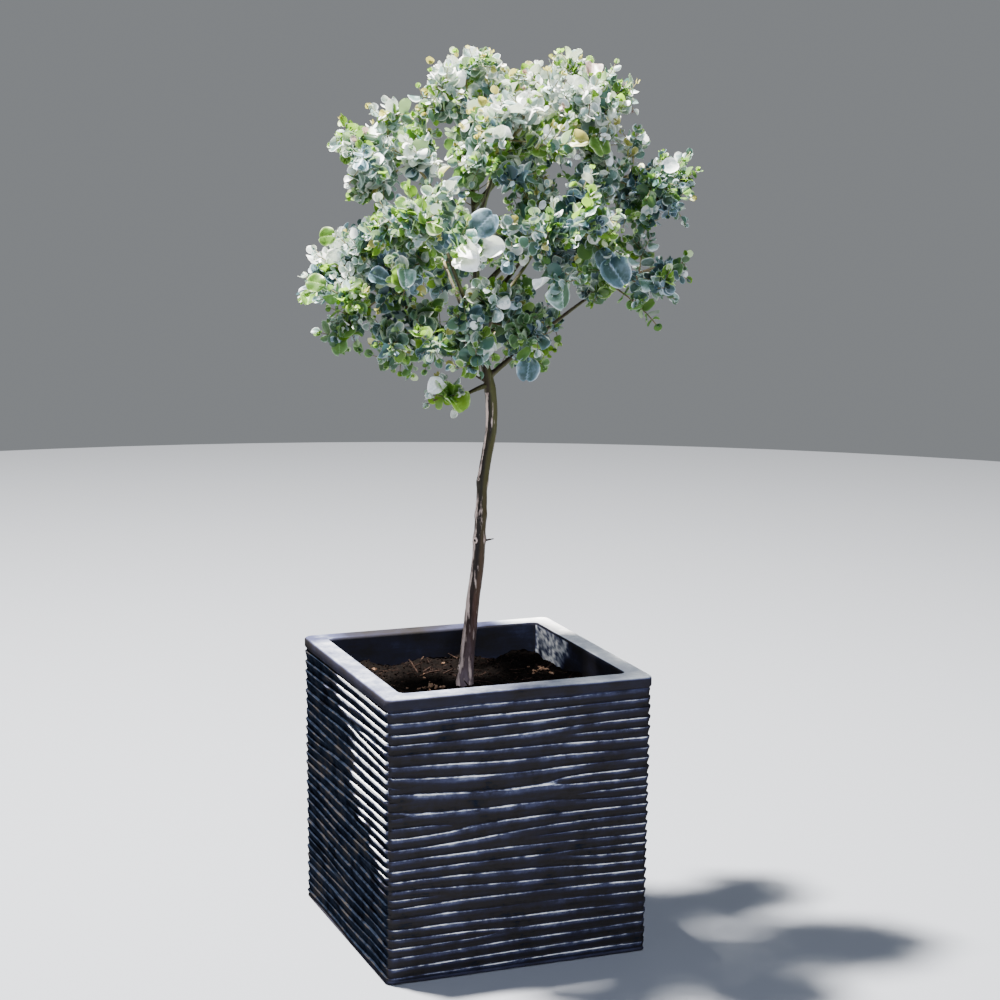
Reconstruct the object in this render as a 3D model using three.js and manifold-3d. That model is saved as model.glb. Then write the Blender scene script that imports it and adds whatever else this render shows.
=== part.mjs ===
// A standard eucalyptus in a square, ridged, dark clay planter.
// Millimetres, +Z up. The origin is at the centre of the planter's flat underside, and its front
// faces -Y. The plant stands in a frame of its own, turned in the planter: X across, Y away, Z up.

import * as THREE from "three";
import { mergeVertices } from "three/addons/utils/BufferGeometryUtils.js";
import Module from "manifold-3d";

const wasm = await Module();
wasm.setup();

// Driving dimensions

const gap = 0.3; // between pieces that touch

const planter = {
  width: 280, // outside, at the rim
  height: 286,
  footShare: 0.992, // width at the foot over width at the rim
  wall: 22.4,
  floor: 22,
  cornerRadius: 8,
  footBevel: 3,
  ridgePitch: 12,
  ridgeDepth: 4.2,
  ridgeCrest: 0.66, // place of the crest in its pitch, from the groove below
  ridgeWear: 1, // how much the crests and the grooves vary in depth
  // the ridges' wander up and down: height, turns round the planter, height per radian, start
  ridgeWaves: [
    [2.4, 2, 37, 0],
    [1.7, 3, -23, 1.3],
    [1.3, 7, 51, 4],
  ],
  plainBand: 12, // smooth band under the rim
  bandStep: 2.5, // from the last ridge out to the band
  rimRound: 1.6,
};

const compost = {
  top: 255,
  seat: 25, // half width of the level patch round the trunk
  rings: [0.86, 0.7, 0.54, 0.38], // shares of the half width
  bump: 3.5,
  settle: 2.8, // at a planter's width from the middle
  slope: 6.3, // how much lower it lies to the right
};

const plantTurn = -21.5; // degrees, the plant's own frame in the planter's

// The trunk's centre line in the plant's frame, from the compost to the fork
const trunk = {
  line: [
    [-8, 0, 255],
    [-6.5, 1, 274],
    [-4, 2, 302],
    [0, 2, 344],
    [4.5, 0, 380],
    [6.5, -2, 415],
    [8, -3, 447],
    [8.5, -3, 464],
    [12.5, -1, 492],
    [17, 1, 519],
    [17, 1, 546],
    [15.5, 0, 562],
  ],
  // radius at shares of its height
  girth: [
    [0, 9.6],
    [0.035, 8.2],
    [0.12, 7.3],
    [0.42, 6.5],
    [0.66, 5.5],
    [0.8, 5.7],
    [1, 5.9],
  ],
  scars: [402, 433, 467], // heights of the bud scars
  scarSwell: 0.9,
  sides: 8,
  steps: 24,
};

const leader = {
  line: [
    [15.5, 0, 562],
    [8, -2, 598],
    [2, 0, 650],
    [0, 3, 703],
    [-3, 2, 752],
    [-6, 0, 800],
  ],
  baseRadius: 4.9,
  tipRadius: 1.7,
  sides: 7,
  steps: 12,
};

const bough = {
  sides: 5,
  steps: 6,
  baseRadius: 2.9,
  tipRadius: 1.5,
  entry: 0.72, // where it ends, as a share of the lobe's half width from its centre
  level: 0.55, // how far its way into the lobe is levelled
};

// Each mass of foliage fills a lobe of the crown. centre is in the plant's frame, size is the lobe's
// half widths across, away and up, and from is the height where its bough leaves the trunk or leader.
const lobes = [
  { name: "left", centre: [-115, 2, 658], size: [70, 64, 78], from: 584, lift: 10 },
  { name: "upper_left", centre: [-86, 10, 786], size: [64, 60, 60], from: 690, lift: -6 },
  { name: "top_left", centre: [-10, -4, 846], size: [56, 58, 58], from: null, lift: 0 },
  { name: "top_right", centre: [94, -4, 838], size: [68, 60, 60], from: 742, lift: -12 },
  { name: "upper_right", centre: [148, 2, 762], size: [76, 60, 58], from: 655, lift: 10 },
  { name: "right", centre: [158, 4, 666], size: [68, 60, 56], from: 572, lift: 4 },
  { name: "low_left", centre: [-62, -22, 608], size: [52, 54, 46], from: 568, lift: -4 },
  { name: "low_shoot", centre: [-25, -24, 554], size: [27, 24, 26], from: 565, lift: 2 },
  { name: "low_front", centre: [18, -60, 622], size: [60, 54, 56], from: 590, lift: -6 },
  { name: "front_left", centre: [-42, -108, 716], size: [66, 58, 64], from: 618, lift: -8 },
  { name: "front_right", centre: [78, -102, 718], size: [66, 58, 64], from: 640, lift: -8 },
  { name: "front_top", centre: [36, -84, 800], size: [62, 54, 56], from: 722, lift: -6 },
  { name: "back_left", centre: [-52, 106, 692], size: [68, 60, 66], from: 604, lift: -8 },
  { name: "back_right", centre: [84, 108, 700], size: [70, 60, 66], from: 628, lift: -8 },
  { name: "back_top", centre: [28, 86, 796], size: [64, 56, 58], from: 708, lift: -6 },
  { name: "low_back", centre: [36, 62, 616], size: [62, 54, 52], from: 597, lift: -4 },
];

// A lobe's stem goes on from its bough's tip
const stem = {
  reach: 1.5, // its length over the way to the lobe's centre
  climb: 0.2, // its rise past that line, as a share of the lobe's height
  ease: 0.4, // share of its length that keeps the bough's direction
  radius: 1.7,
  sides: 4,
  steps: 3,
};

const twig = {
  spread: 7.9, // a lobe's mean half width over its number of side twigs
  firstRoot: 0.14, // share of the stem where the side twigs begin
  rootSpan: 0.8, // share of the stem that they stand on
  radius: 1.5,
  tipRadius: 1.15,
  sides: 3,
  stops: [0, 0.9, 1], // along it, the last one its point
  reach: 0.8, // share of the lobe's half width
  lowest: -0.75, // cosines off the lobe's axis of the first and last side twig
  highest: 0.97,
  slack: 0.6, // radians
  bow: 6,
  shorten: 0.12, // share cut off a twig at a time until its tip keeps to its lobe
  cuts: 8,
  shortest: 15,
  clearance: 2,
};

const leaf = {
  length: 33,
  width: 30,
  widest: 0.55, // share of its length
  rise: 1.3,
  rootGap: 0.15, // from the twig's middle to the root, which lies sunk in the twig
  lean: 0.6, // radians forward from square to the twig
  leanSlack: 0.4,
  turnSlack: 0.3,
  tiltSlack: 0.9,
  sizeSlack: 0.3,
  // places along the twig, each with a leaf on two of its sides, and their size
  stops: [
    [0.84, 0.85],
    [0.45, 1],
  ],
  // more lean, and share of its size
  tries: [
    [0, 1],
    [0.45, 0.9],
    [-0.45, 0.85],
    [0.8, 0.75],
    [-0.8, 0.65],
  ],
};

const space = { margin: 0.5, limbGap: 0.8 };

// Small tools

function seededRandom(seed) {
  let state = seed >>> 0;
  return () => {
    state = (state + 0x6d2b79f5) >>> 0;
    let t = Math.imul(state ^ (state >>> 15), state | 1);
    t ^= t + Math.imul(t ^ (t >>> 7), t | 61);
    return ((t ^ (t >>> 14)) >>> 0) / 4294967296;
  };
}

function vector(p) {
  return new THREE.Vector3(...p);
}

function lerpTable(table, x) {
  const i = Math.max(1, table.findIndex((row) => row[0] >= x));
  const [x0, y0] = table[i - 1];
  const [x1, y1] = table[i];
  return y0 + ((y1 - y0) * (x - x0)) / (x1 - x0);
}

// A closed geometry as a solid, and back
function solidOf(geometry) {
  const bare = geometry.clone();
  bare.deleteAttribute("normal");
  bare.deleteAttribute("uv");
  const merged = mergeVertices(bare, 1e-4);
  return new wasm.Manifold(
    new wasm.Mesh({
      numProp: 3,
      vertProperties: new Float32Array(merged.getAttribute("position").array),
      triVerts: new Uint32Array(merged.index.array),
    }),
  );
}

function geometryOf(solid) {
  const mesh = solid.getMesh();
  const geometry = new THREE.BufferGeometry();
  geometry.setAttribute("position", new THREE.BufferAttribute(mesh.vertProperties, 3));
  geometry.setIndex(new THREE.BufferAttribute(mesh.triVerts, 1));
  geometry.computeVertexNormals();
  return geometry;
}

function largestBody(solid) {
  return solid.decompose().reduce((best, body) => (body.volume() > best.volume() ? body : best));
}

// Two unit vectors square to a direction
function across(direction) {
  const up = Math.abs(direction.z) > 0.9 ? new THREE.Vector3(1, 0, 0) : new THREE.Vector3(0, 0, 1);
  const side = new THREE.Vector3().crossVectors(direction, up).normalize();
  return [side, new THREE.Vector3().crossVectors(side, direction).normalize()];
}

// Limbs: a cylinder bent along a curve, with its radius set along the way. A twig is a cone bent
// in the same way, so it ends in a point.

function bend(geometry, curve, radiusAt, stops, frameAt) {
  const at = geometry.getAttribute("position");
  for (let i = 0; i < at.count; i++) {
    const t = stops[Math.round((at.getY(i) + 0.5) * (stops.length - 1))];
    const [normal, binormal] = frameAt(t);
    const flat = Math.hypot(at.getX(i), at.getZ(i));
    const radius = flat > 0 ? radiusAt(t) / flat : 0;
    const point = curve
      .getPointAt(t)
      .addScaledVector(normal, -at.getX(i) * radius)
      .addScaledVector(binormal, at.getZ(i) * radius);
    at.setXYZ(i, point.x, point.y, point.z);
  }
  return geometry;
}

function limbGeometry(curve, radiusAt, sides, steps) {
  const stops = Array.from({ length: steps + 1 }, (_, i) => i / steps);
  const { normals, binormals } = curve.computeFrenetFrames(steps);
  const frameAt = (t) => [normals[Math.round(t * steps)], binormals[Math.round(t * steps)]];
  return bend(new THREE.CylinderGeometry(1, 1, 1, sides, steps), curve, radiusAt, stops, frameAt);
}

// A twig's rings lie parallel, which keeps its sides flat between them
function twigSquare(curve) {
  return across(curve.getPointAt(1).sub(curve.getPointAt(0)).normalize());
}

function twigGeometry(curve, radiusAt) {
  const cone = new THREE.ConeGeometry(1, 1, twig.sides, twig.stops.length - 1);
  const [side, lift] = twigSquare(curve);
  return bend(cone, curve, radiusAt, twig.stops, () => [lift, side]);
}

function taper(from, to) {
  return (t) => from + (to - from) * t;
}

// Planter and compost: a lathe pressed into a square with round corners

const sideStops = [-1, -0.35, 0.35, 1];
const ringCount = 4 * (sideStops.length + 1);

// The place of a ring's stop on a square of the given half width, from the front's left corner
function squarePoint(stop, half) {
  const side = Math.floor(stop / (sideStops.length + 1));
  const k = stop % (sideStops.length + 1);
  const radius = Math.min(planter.cornerRadius, half);
  const cut = half - radius * (1 - Math.SQRT1_2);
  const point =
    k < sideStops.length
      ? new THREE.Vector2(sideStops[k] * (half - radius), -half)
      : new THREE.Vector2(cut, -cut);
  return point.rotateAround(new THREE.Vector2(0, 0), (side * Math.PI) / 2);
}

function squareLathe(rows) {
  const profile = rows.map((row) => new THREE.Vector2(row.half, row.z));
  const geometry = new THREE.LatheGeometry(profile, ringCount);
  const at = geometry.getAttribute("position");
  for (let stop = 0; stop <= ringCount; stop++) {
    rows.forEach((row, j) => {
      const turn = ((stop % ringCount) / ringCount) * 2 * Math.PI;
      const half = row.half - (row.half > 0 && row.sink ? row.sink(turn, row.z) : 0);
      const point = squarePoint(stop % ringCount, half);
      const z = row.z + (row.wave ? row.wave(turn, row.z, point) : 0);
      at.setXYZ(stop * rows.length + j, point.x, point.y, z);
    });
  }
  return geometry;
}

// How far a ridge wanders up or down on its way round the planter
function ridgeWave(turn, z) {
  const hold = Math.sqrt(Math.sin((Math.PI * z) / planter.height));
  const wander = planter.ridgeWaves.reduce(
    (sum, [height, turns, slope, start]) => sum + height * Math.sin(turns * turn + z / slope + start),
    0,
  );
  return hold * wander;
}

// How far a crest or a groove lies behind the planter's face
function crestSink(turn, z) {
  return planter.ridgeWear * (0.5 + 0.5 * Math.sin(5 * turn + z / 9));
}

function grooveSink(turn, z) {
  return planter.ridgeDepth - planter.ridgeWear * (0.7 - 0.7 * Math.sin(4 * turn + z / 7 + 2));
}

function planterRows() {
  const half = planter.width / 2;
  const halfAt = (z) => half * (planter.footShare + (1 - planter.footShare) * (z / planter.height));
  const bandFoot = planter.height - planter.plainBand;
  const ridges = Math.floor((bandFoot - planter.footBevel) / planter.ridgePitch);
  const rows = [
    { half: 0, z: 0 },
    { half: halfAt(0) - planter.footBevel, z: 0 },
  ];
  for (let k = 0; k < ridges; k++) {
    const z = planter.footBevel + k * planter.ridgePitch;
    const crest = z + planter.ridgeCrest * planter.ridgePitch;
    if (k > 0) rows.push({ half: halfAt(z), z, sink: grooveSink, wave: ridgeWave });
    rows.push({ half: halfAt(crest), z: crest, sink: crestSink, wave: ridgeWave });
  }
  const inner = half - planter.wall;
  rows.push(
    { half: half - planter.bandStep, z: bandFoot },
    { half: half - planter.bandStep / 3, z: bandFoot + planter.bandStep },
    { half, z: planter.height - planter.rimRound },
    { half: half - planter.rimRound, z: planter.height },
    { half: inner + planter.rimRound, z: planter.height },
    { half: inner, z: planter.height - planter.rimRound },
    { half: inner, z: planter.floor },
    { half: 0, z: planter.floor },
  );
  return rows;
}

// The compost lies level round the trunk's foot, and dips and heaps towards the walls
function compostBump(turn, z, point) {
  const far = Math.hypot(point.x, point.y) / planter.width;
  const broad = Math.sin(point.x / 17 + 1) * Math.cos(point.y / 21);
  const small = 0.6 * Math.sin(point.x / 9 - point.y / 13);
  const dip = compost.settle + (compost.slope * point.x) / planter.width;
  return compost.bump * (broad + small) - dip * far;
}

function compostRows() {
  const wall = planter.width / 2 - planter.wall - gap;
  const top = compost.top - gap;
  return [
    { half: 0, z: planter.floor + gap },
    { half: wall, z: planter.floor + gap },
    { half: wall, z: top, wave: compostBump },
    ...compost.rings.map((share) => ({ half: share * wall, z: top, wave: compostBump })),
    { half: compost.seat, z: top },
    { half: 0, z: top },
  ];
}

// Trunk, leader and boughs

const trunkCurve = new THREE.CatmullRomCurve3(trunk.line.map(vector));
const leaderCurve = new THREE.CatmullRomCurve3(leader.line.map(vector));

function trunkRadius(t) {
  const z = trunkCurve.getPointAt(t).z;
  const swell = trunk.scars.reduce((sum, scar) => sum + Math.exp(-(((z - scar) / 5) ** 2)), 0);
  return lerpTable(trunk.girth, t) + trunk.scarSwell * swell;
}

const leaderRadius = taper(leader.baseRadius, leader.tipRadius);

// Levels the first ring, so that the foot is one flat cut
function flatFoot(geometry, z, reach) {
  const at = geometry.getAttribute("position");
  for (let i = 0; i < at.count; i++) if (at.getZ(i) < z + reach) at.setZ(i, z);
  return geometry;
}

function trunkSolid(grown) {
  const geometry = limbGeometry(trunkCurve, (t) => trunkRadius(t) + grown, trunk.sides, trunk.steps);
  return solidOf(flatFoot(geometry, trunk.line[0][2], 4));
}

function leaderSolid(grown) {
  const geometry = limbGeometry(leaderCurve, (t) => leaderRadius(t) + grown, leader.sides, leader.steps);
  return solidOf(geometry);
}

// The point of a curve at a height
function pointAtHeight(curve, z) {
  let low = 0;
  let high = 1;
  for (let i = 0; i < 24; i++) {
    const middle = (low + high) / 2;
    if (curve.getPointAt(middle).z < z) low = middle;
    else high = middle;
  }
  return curve.getPointAt(low);
}

// A bough runs from the leader to the near side of its lobe, and the lobe's stem goes on from there
function boughCurve(lobe) {
  const start = pointAtHeight(leaderCurve, lobe.from);
  const centre = vector(lobe.centre);
  const inward = start.clone().sub(centre);
  inward.z *= bough.level;
  inward.normalize();
  const end = centre.clone().add(inward.multiply(vector(lobe.size)).multiplyScalar(bough.entry));
  const middle = start.clone().lerp(end, 0.5);
  middle.z += lobe.lift;
  return new THREE.QuadraticBezierCurve3(start, middle, end);
}

// Masses of foliage

function meanReach(lobe) {
  return (lobe.size[0] + lobe.size[1] + lobe.size[2]) / 3;
}

// Inside its lobe, and on its own side of the plane that parts it from each neighbour
function keepsToSpace(point, index) {
  const power = (k) => point.distanceToSquared(vector(lobes[k].centre)) - meanReach(lobes[k]) ** 2;
  const { centre, size } = lobes[index];
  const inLobe = point.clone().sub(vector(centre)).divide(vector(size)).length() <= 1;
  const own = power(index);
  return (
    inLobe &&
    lobes.every((other, k) => {
      if (k === index) return true;
      const apart = vector(other.centre).distanceTo(vector(centre));
      return (power(k) - own) / (2 * apart) >= space.margin;
    })
  );
}

// Points along every limb, with the limb's radius there
const limbPoints = [];
function noteLimb(curve, radiusAt) {
  const steps = Math.ceil(curve.getLength() / 3);
  for (let i = 0; i <= steps; i++) {
    limbPoints.push({ point: curve.getPointAt(i / steps), radius: radiusAt(i / steps) });
  }
}

function clearOfLimbs(point, reach) {
  return limbPoints.every((limb) => limb.point.distanceTo(point) > limb.radius + reach);
}

// The frame of a leaf: its root, and unit vectors along it, across it and out of its face
function leafFrame({ root, direction, side, lift }, turn, lean, tilt) {
  const out = side.clone().multiplyScalar(Math.cos(turn)).addScaledVector(lift, Math.sin(turn));
  const along = out.clone().multiplyScalar(Math.cos(lean)).addScaledVector(direction, Math.sin(lean));
  const wide = new THREE.Vector3().crossVectors(direction, out).normalize();
  const face = new THREE.Vector3().crossVectors(wide, along);
  wide.multiplyScalar(Math.cos(tilt)).addScaledVector(face, Math.sin(tilt));
  return { root, along, wide, face: face.crossVectors(wide, along) };
}

// A round leaf of eight faces: five stops round its edge, flat beneath and raised in the middle
function leafPoints(frame, size) {
  const length = leaf.length * size;
  const half = (leaf.width * size) / 2;
  const stops = [
    [0, leaf.rootGap, 0],
    [half, leaf.widest * length, 0],
    [0.62 * half, 0.97 * length, 0],
    [-0.62 * half, 0.97 * length, 0],
    [-half, leaf.widest * length, 0],
    [0, 0.5 * length, leaf.rise * size],
  ];
  return stops.map(([x, y, z]) =>
    frame.root
      .clone()
      .addScaledVector(frame.wide, x)
      .addScaledVector(frame.along, y)
      .addScaledVector(frame.face, z),
  );
}

const leafFaces = [0, 1, 5, 1, 2, 5, 2, 3, 5, 3, 4, 5, 4, 0, 5, 0, 4, 1, 1, 4, 2, 2, 4, 3];

function leafSolid(points) {
  return solidOf(new THREE.BufferGeometry().setFromPoints(points).setIndex(leafFaces));
}

// No limb passes through the leaf's round, or near it
function leafClear(frame, size) {
  const length = leaf.length * size;
  return limbPoints.every((limb) => {
    const away = limb.point.clone().sub(frame.root);
    const reach = limb.radius + space.limbGap + leaf.rise;
    const x = away.dot(frame.wide) / ((leaf.width * size) / 2 + reach);
    const y = (away.dot(frame.along) - length / 2) / (length / 2 + reach);
    return Math.abs(away.dot(frame.face)) > reach || x * x + y * y > 1;
  });
}

// A lobe's stem goes on from its bough's tip, through the lobe's centre and a little up
function stemCurve(lobe) {
  const direction = lobe.curve.getTangentAt(1);
  const start = lobe.curve.getPointAt(1).addScaledVector(direction, gap);
  const onward = start.clone().lerp(vector(lobe.centre), stem.reach);
  onward.z += stem.climb * lobe.size[2];
  const turn = start.clone().addScaledVector(direction, stem.ease * onward.distanceTo(start));
  return new THREE.QuadraticBezierCurve3(start, turn, onward);
}

// Side twig k leaves the stem at its share of the way up, and reaches for its own place in the
// lobe's round: the places lie evenly, by the golden angle, from beside the stem's foot to its tip
function twigCount(lobe) {
  return Math.round(meanReach(lobe) / twig.spread);
}

function sideTwigCurve(lobe, line, k, random, fits) {
  const count = twigCount(lobe);
  const centre = vector(lobe.centre);
  const axis = line.getPointAt(1).sub(centre).normalize();
  const [side, lift] = across(axis);
  const rise = twig.lowest + ((twig.highest - twig.lowest) * (k + 0.5)) / count;
  const spin = k * Math.PI * (3 - Math.sqrt(5)) + twig.slack * random();
  const wide = Math.sqrt(1 - rise * rise);
  const tip = axis
    .multiplyScalar(rise)
    .addScaledVector(side, wide * Math.cos(spin))
    .addScaledVector(lift, wide * Math.sin(spin))
    .multiply(vector(lobe.size))
    .multiplyScalar(twig.reach)
    .add(centre);
  const t = twig.firstRoot + (twig.rootSpan * k) / count;
  const root = line.getPointAt(t);
  for (let cut = 0; cut < twig.cuts && !fits(tip); cut++) tip.lerp(root, twig.shorten);
  const middle = root.clone().lerp(tip, 0.5).addScaledVector(line.getTangentAt(t), twig.bow);
  return new THREE.QuadraticBezierCurve3(root, middle, tip);
}

// A twig's solid runs straight between its stops, and its leaves stand on that line
function twigLine(path) {
  const points = twig.stops.map((stop) => path.getPointAt(stop));
  const [side, lift] = twigSquare(path);
  return (t) => {
    const k = twig.stops.findIndex((stop) => stop > t);
    const share = (t - twig.stops[k - 1]) / (twig.stops[k] - twig.stops[k - 1]);
    return {
      root: points[k - 1].clone().lerp(points[k], share),
      direction: points[k].clone().sub(points[k - 1]).normalize(),
      side,
      lift,
    };
  };
}

function massSolid(index) {
  const lobe = lobes[index];
  const fits = (point) => keepsToSpace(point, index);
  const line = stemCurve(lobe);
  const limbs = [solidOf(limbGeometry(line, taper(stem.radius, twig.radius), stem.sides, stem.steps))];
  const leaves = [];

  // Tries the leaf at its own turn and size, then turned on and smaller. A leaf that would leave
  // its space or cut a limb or another leaf is skipped.
  function addLeaf(place, t, turn, size, random) {
    const lean = leaf.lean * (0.6 + 0.8 * t) + leaf.leanSlack * (random() - 0.5);
    const tilt = leaf.tiltSlack * (random() - 0.5);
    for (const [more, share] of leaf.tries) {
      const frame = leafFrame(place, turn, lean + more, tilt);
      const points = leafPoints(frame, size * share);
      if (!points.every(fits) || !leafClear(frame, size * share)) continue;
      const solid = leafSolid(points);
      if (leaves.some((other) => !other.intersect(solid).isEmpty())) continue;
      leaves.push(solid);
      return;
    }
  }

  for (let k = 0; k < twigCount(lobe); k++) {
    const random = seededRandom(1000 * (index + 1) + k);
    const path = sideTwigCurve(lobe, line, k, random, fits);
    const stops = [0.3, 0.5, 0.7, 0.85, 1].map((t) => path.getPointAt(t));
    if (path.getLength() < twig.shortest) continue;
    if (!stops.every((point) => fits(point) && clearOfLimbs(point, twig.clearance))) continue;
    limbs.push(solidOf(twigGeometry(path, taper(twig.radius, twig.tipRadius))));
    const placeAt = twigLine(path);
    leaf.stops.forEach(([t, size], n) => {
      for (const face of [k + n, k + n + 1]) {
        const turn = ((2 * face + 1) * Math.PI) / twig.sides + leaf.turnSlack * (random() - 0.5);
        addLeaf(placeAt(t), t, turn, size * (1 + leaf.sizeSlack * (random() - 0.5)), random);
      }
    });
  }
  const joined = wasm.Manifold.union([...limbs, ...leaves]);
  return largestBody(joined);
}

// Materials

function material(color, roughness) {
  return new THREE.MeshStandardMaterial({ color, roughness, metalness: 0 });
}

const materials = {
  clay: material("#2b2c33", 0.75),
  soil: material("#2a1d17", 0.98),
  bark: material("#7b6459", 0.85),
  greenBark: material("#5d6148", 0.8),
  foliage: material("#93ab9d", 0.6),
};

function mesh(name, solid, surface) {
  const made = new THREE.Mesh(geometryOf(solid), surface);
  made.name = name;
  return made;
}

// Assembly

const potted = new THREE.Group();
potted.add(mesh("planter", solidOf(squareLathe(planterRows())), materials.clay));
potted.add(mesh("compost", solidOf(squareLathe(compostRows())), materials.soil));

const plant = new THREE.Group();
plant.rotation.z = THREE.MathUtils.degToRad(plantTurn);
potted.add(plant);

plant.add(mesh("trunk", trunkSolid(0), materials.bark));
const grownTrunk = trunkSolid(gap);
const grownLeader = leaderSolid(gap);
plant.add(mesh("leader", leaderSolid(0).subtract(grownTrunk), materials.greenBark));
noteLimb(trunkCurve, trunkRadius);
noteLimb(leaderCurve, leaderRadius);

const boughRadius = taper(bough.baseRadius, bough.tipRadius);
for (const lobe of lobes) {
  if (lobe.from === null) {
    lobe.curve = leaderCurve;
    continue;
  }
  lobe.curve = boughCurve(lobe);
  noteLimb(lobe.curve, boughRadius);
  const whole = solidOf(limbGeometry(lobe.curve, boughRadius, bough.sides, bough.steps));
  const cut = largestBody(whole.subtract(grownTrunk).subtract(grownLeader));
  plant.add(mesh("bough_" + lobe.name, cut, materials.greenBark));
}

lobes.forEach((lobe, index) => {
  plant.add(mesh("foliage_" + lobe.name, massSolid(index), materials.foliage));
});

export default potted;
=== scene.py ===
import math

import bpy
import numpy as np
from mathutils import Matrix, Vector, noise


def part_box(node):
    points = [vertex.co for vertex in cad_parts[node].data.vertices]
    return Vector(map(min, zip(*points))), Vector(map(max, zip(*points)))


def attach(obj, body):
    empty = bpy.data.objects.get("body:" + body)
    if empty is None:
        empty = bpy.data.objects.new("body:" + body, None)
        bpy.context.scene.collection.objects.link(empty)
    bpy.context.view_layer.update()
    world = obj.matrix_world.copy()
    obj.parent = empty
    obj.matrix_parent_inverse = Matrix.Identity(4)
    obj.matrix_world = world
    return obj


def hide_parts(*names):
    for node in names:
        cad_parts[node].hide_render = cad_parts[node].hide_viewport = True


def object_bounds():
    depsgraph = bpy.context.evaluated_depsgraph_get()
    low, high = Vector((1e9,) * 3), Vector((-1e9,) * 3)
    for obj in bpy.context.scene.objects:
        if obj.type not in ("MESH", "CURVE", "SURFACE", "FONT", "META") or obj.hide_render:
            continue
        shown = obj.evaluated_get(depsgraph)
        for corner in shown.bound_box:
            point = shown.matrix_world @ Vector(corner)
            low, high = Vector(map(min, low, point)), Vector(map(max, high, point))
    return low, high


# A standard eucalyptus in a square, combed, dark clay planter. Metres, +Z up.

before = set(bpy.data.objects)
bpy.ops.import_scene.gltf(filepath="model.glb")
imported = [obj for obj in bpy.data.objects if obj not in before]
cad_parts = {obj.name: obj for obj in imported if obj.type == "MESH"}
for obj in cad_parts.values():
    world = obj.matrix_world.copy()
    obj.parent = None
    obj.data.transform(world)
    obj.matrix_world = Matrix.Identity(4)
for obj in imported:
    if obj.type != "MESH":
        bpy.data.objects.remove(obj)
cadBox = [list(corner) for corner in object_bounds()]
mm = 0.001
print("frame:", len(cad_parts), "nodes")


# Small tools


def linearRgb(hexText):  # an sRGB hex value as Blender's linear colour
    shares = [int(hexText[i : i + 2], 16) / 255 for i in (1, 3, 5)]
    linear = [c / 12.92 if c <= 0.04045 else ((c + 0.055) / 1.055) ** 2.4 for c in shares]
    return (*linear, 1)


# Sets a ramp's stops, a node's inputs by name or number, and its properties. An input takes a
# value, a hex colour or another node's output.
def setNode(tree, node, settings):
    for key, value in settings.items():
        if key == "stops":
            ramp = node.color_ramp
            while len(ramp.elements) < len(value):
                ramp.elements.new(1)
            for element, (place, colour) in zip(ramp.elements, value):
                element.position = place
                element.color = linearRgb(colour) if isinstance(colour, str) else (colour, colour, colour, 1)
        elif isinstance(value, bpy.types.NodeSocket):
            tree.links.new(value, node.inputs[key])
        elif isinstance(key, int) or key in node.inputs:
            node.inputs[key].default_value = linearRgb(value) if isinstance(value, str) else value
        else:
            setattr(node, key, value)


def addNode(tree, kind, settings, output=0):  # gives one of the new node's outputs
    node = tree.nodes.new("ShaderNode" + kind)
    setNode(tree, node, settings)
    return node.outputs[output]


def newMaterial(name):
    material = bpy.data.materials.new(name)
    material.use_nodes = True
    tree = material.node_tree
    return material, tree, tree.nodes["Principled BSDF"]


def selectOnly(*pieces):  # the first becomes the active one
    bpy.ops.object.select_all(action="DESELECT")
    for piece in reversed(pieces):
        piece.select_set(True)
        bpy.context.view_layer.objects.active = piece


def editAll(operator, **settings):  # one operator of edit mode, on all of the active piece
    bpy.ops.object.mode_set(mode="EDIT")
    bpy.ops.mesh.select_all(action="SELECT")
    operator(**settings)
    bpy.ops.object.mode_set(mode="OBJECT")


def faceOutwards(piece):
    selectOnly(piece)
    editAll(bpy.ops.mesh.normals_make_consistent, inside=False)


def shadeSmooth(piece):
    selectOnly(piece)
    bpy.ops.object.shade_smooth()


def coords(mesh):
    flat = np.zeros(len(mesh.vertices) * 3)
    mesh.vertices.foreach_get("co", flat)
    return flat.reshape(-1, 3)


def setCoords(mesh, points):
    mesh.vertices.foreach_set("co", np.asarray(points, float).ravel())
    mesh.update()


def giveLayer(piece, name, values):  # a number or a vector for each corner, which a material reads
    kind, field = ("FLOAT", "value") if values.ndim == 1 else ("FLOAT_VECTOR", "vector")
    layer = piece.data.attributes.new(name, kind, "POINT")
    layer.data.foreach_set(field, values.astype(np.float32).ravel())


def joined(parts):  # many shapes' corners and faces, as those of one shape
    points, faces, count = [], [], 0
    for corners, partFaces in parts:
        points.append(corners)
        faces += [tuple(i + count for i in face) for face in partFaces]
        count += len(corners)
    return np.concatenate(points), faces


def pieceFromArrays(name, points, faces):
    mesh = bpy.data.meshes.new(name)
    mesh.from_pydata(points.tolist(), [], faces)
    piece = bpy.data.objects.new(name, mesh)
    bpy.context.scene.collection.objects.link(piece)
    return piece


# Cuts a new cylinder across its sides, every pass cutting the last one's strips again
def cutUpright(piece, *passes):
    for cuts in passes:
        for item in (*piece.data.vertices, *piece.data.polygons):
            item.select = False
        height = coords(piece.data)[:, 2].round(7)
        for edge in piece.data.edges:
            edge.select = bool(height[edge.vertices[0]] != height[edge.vertices[1]])
        bpy.context.tool_settings.mesh_select_mode = (False, True, False)
        bpy.ops.object.mode_set(mode="EDIT")
        bpy.ops.mesh.subdivide(number_cuts=cuts)
        bpy.ops.object.mode_set(mode="OBJECT")


def settle(piece, material, nodes=()):
    piece.data.materials.clear()
    piece.data.materials.append(material)
    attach(piece, "root")
    if nodes:
        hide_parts(*nodes)
    triangles = sum(len(face.vertices) - 2 for face in piece.data.polygons)
    print(piece.name, triangles, "triangles")


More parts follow.
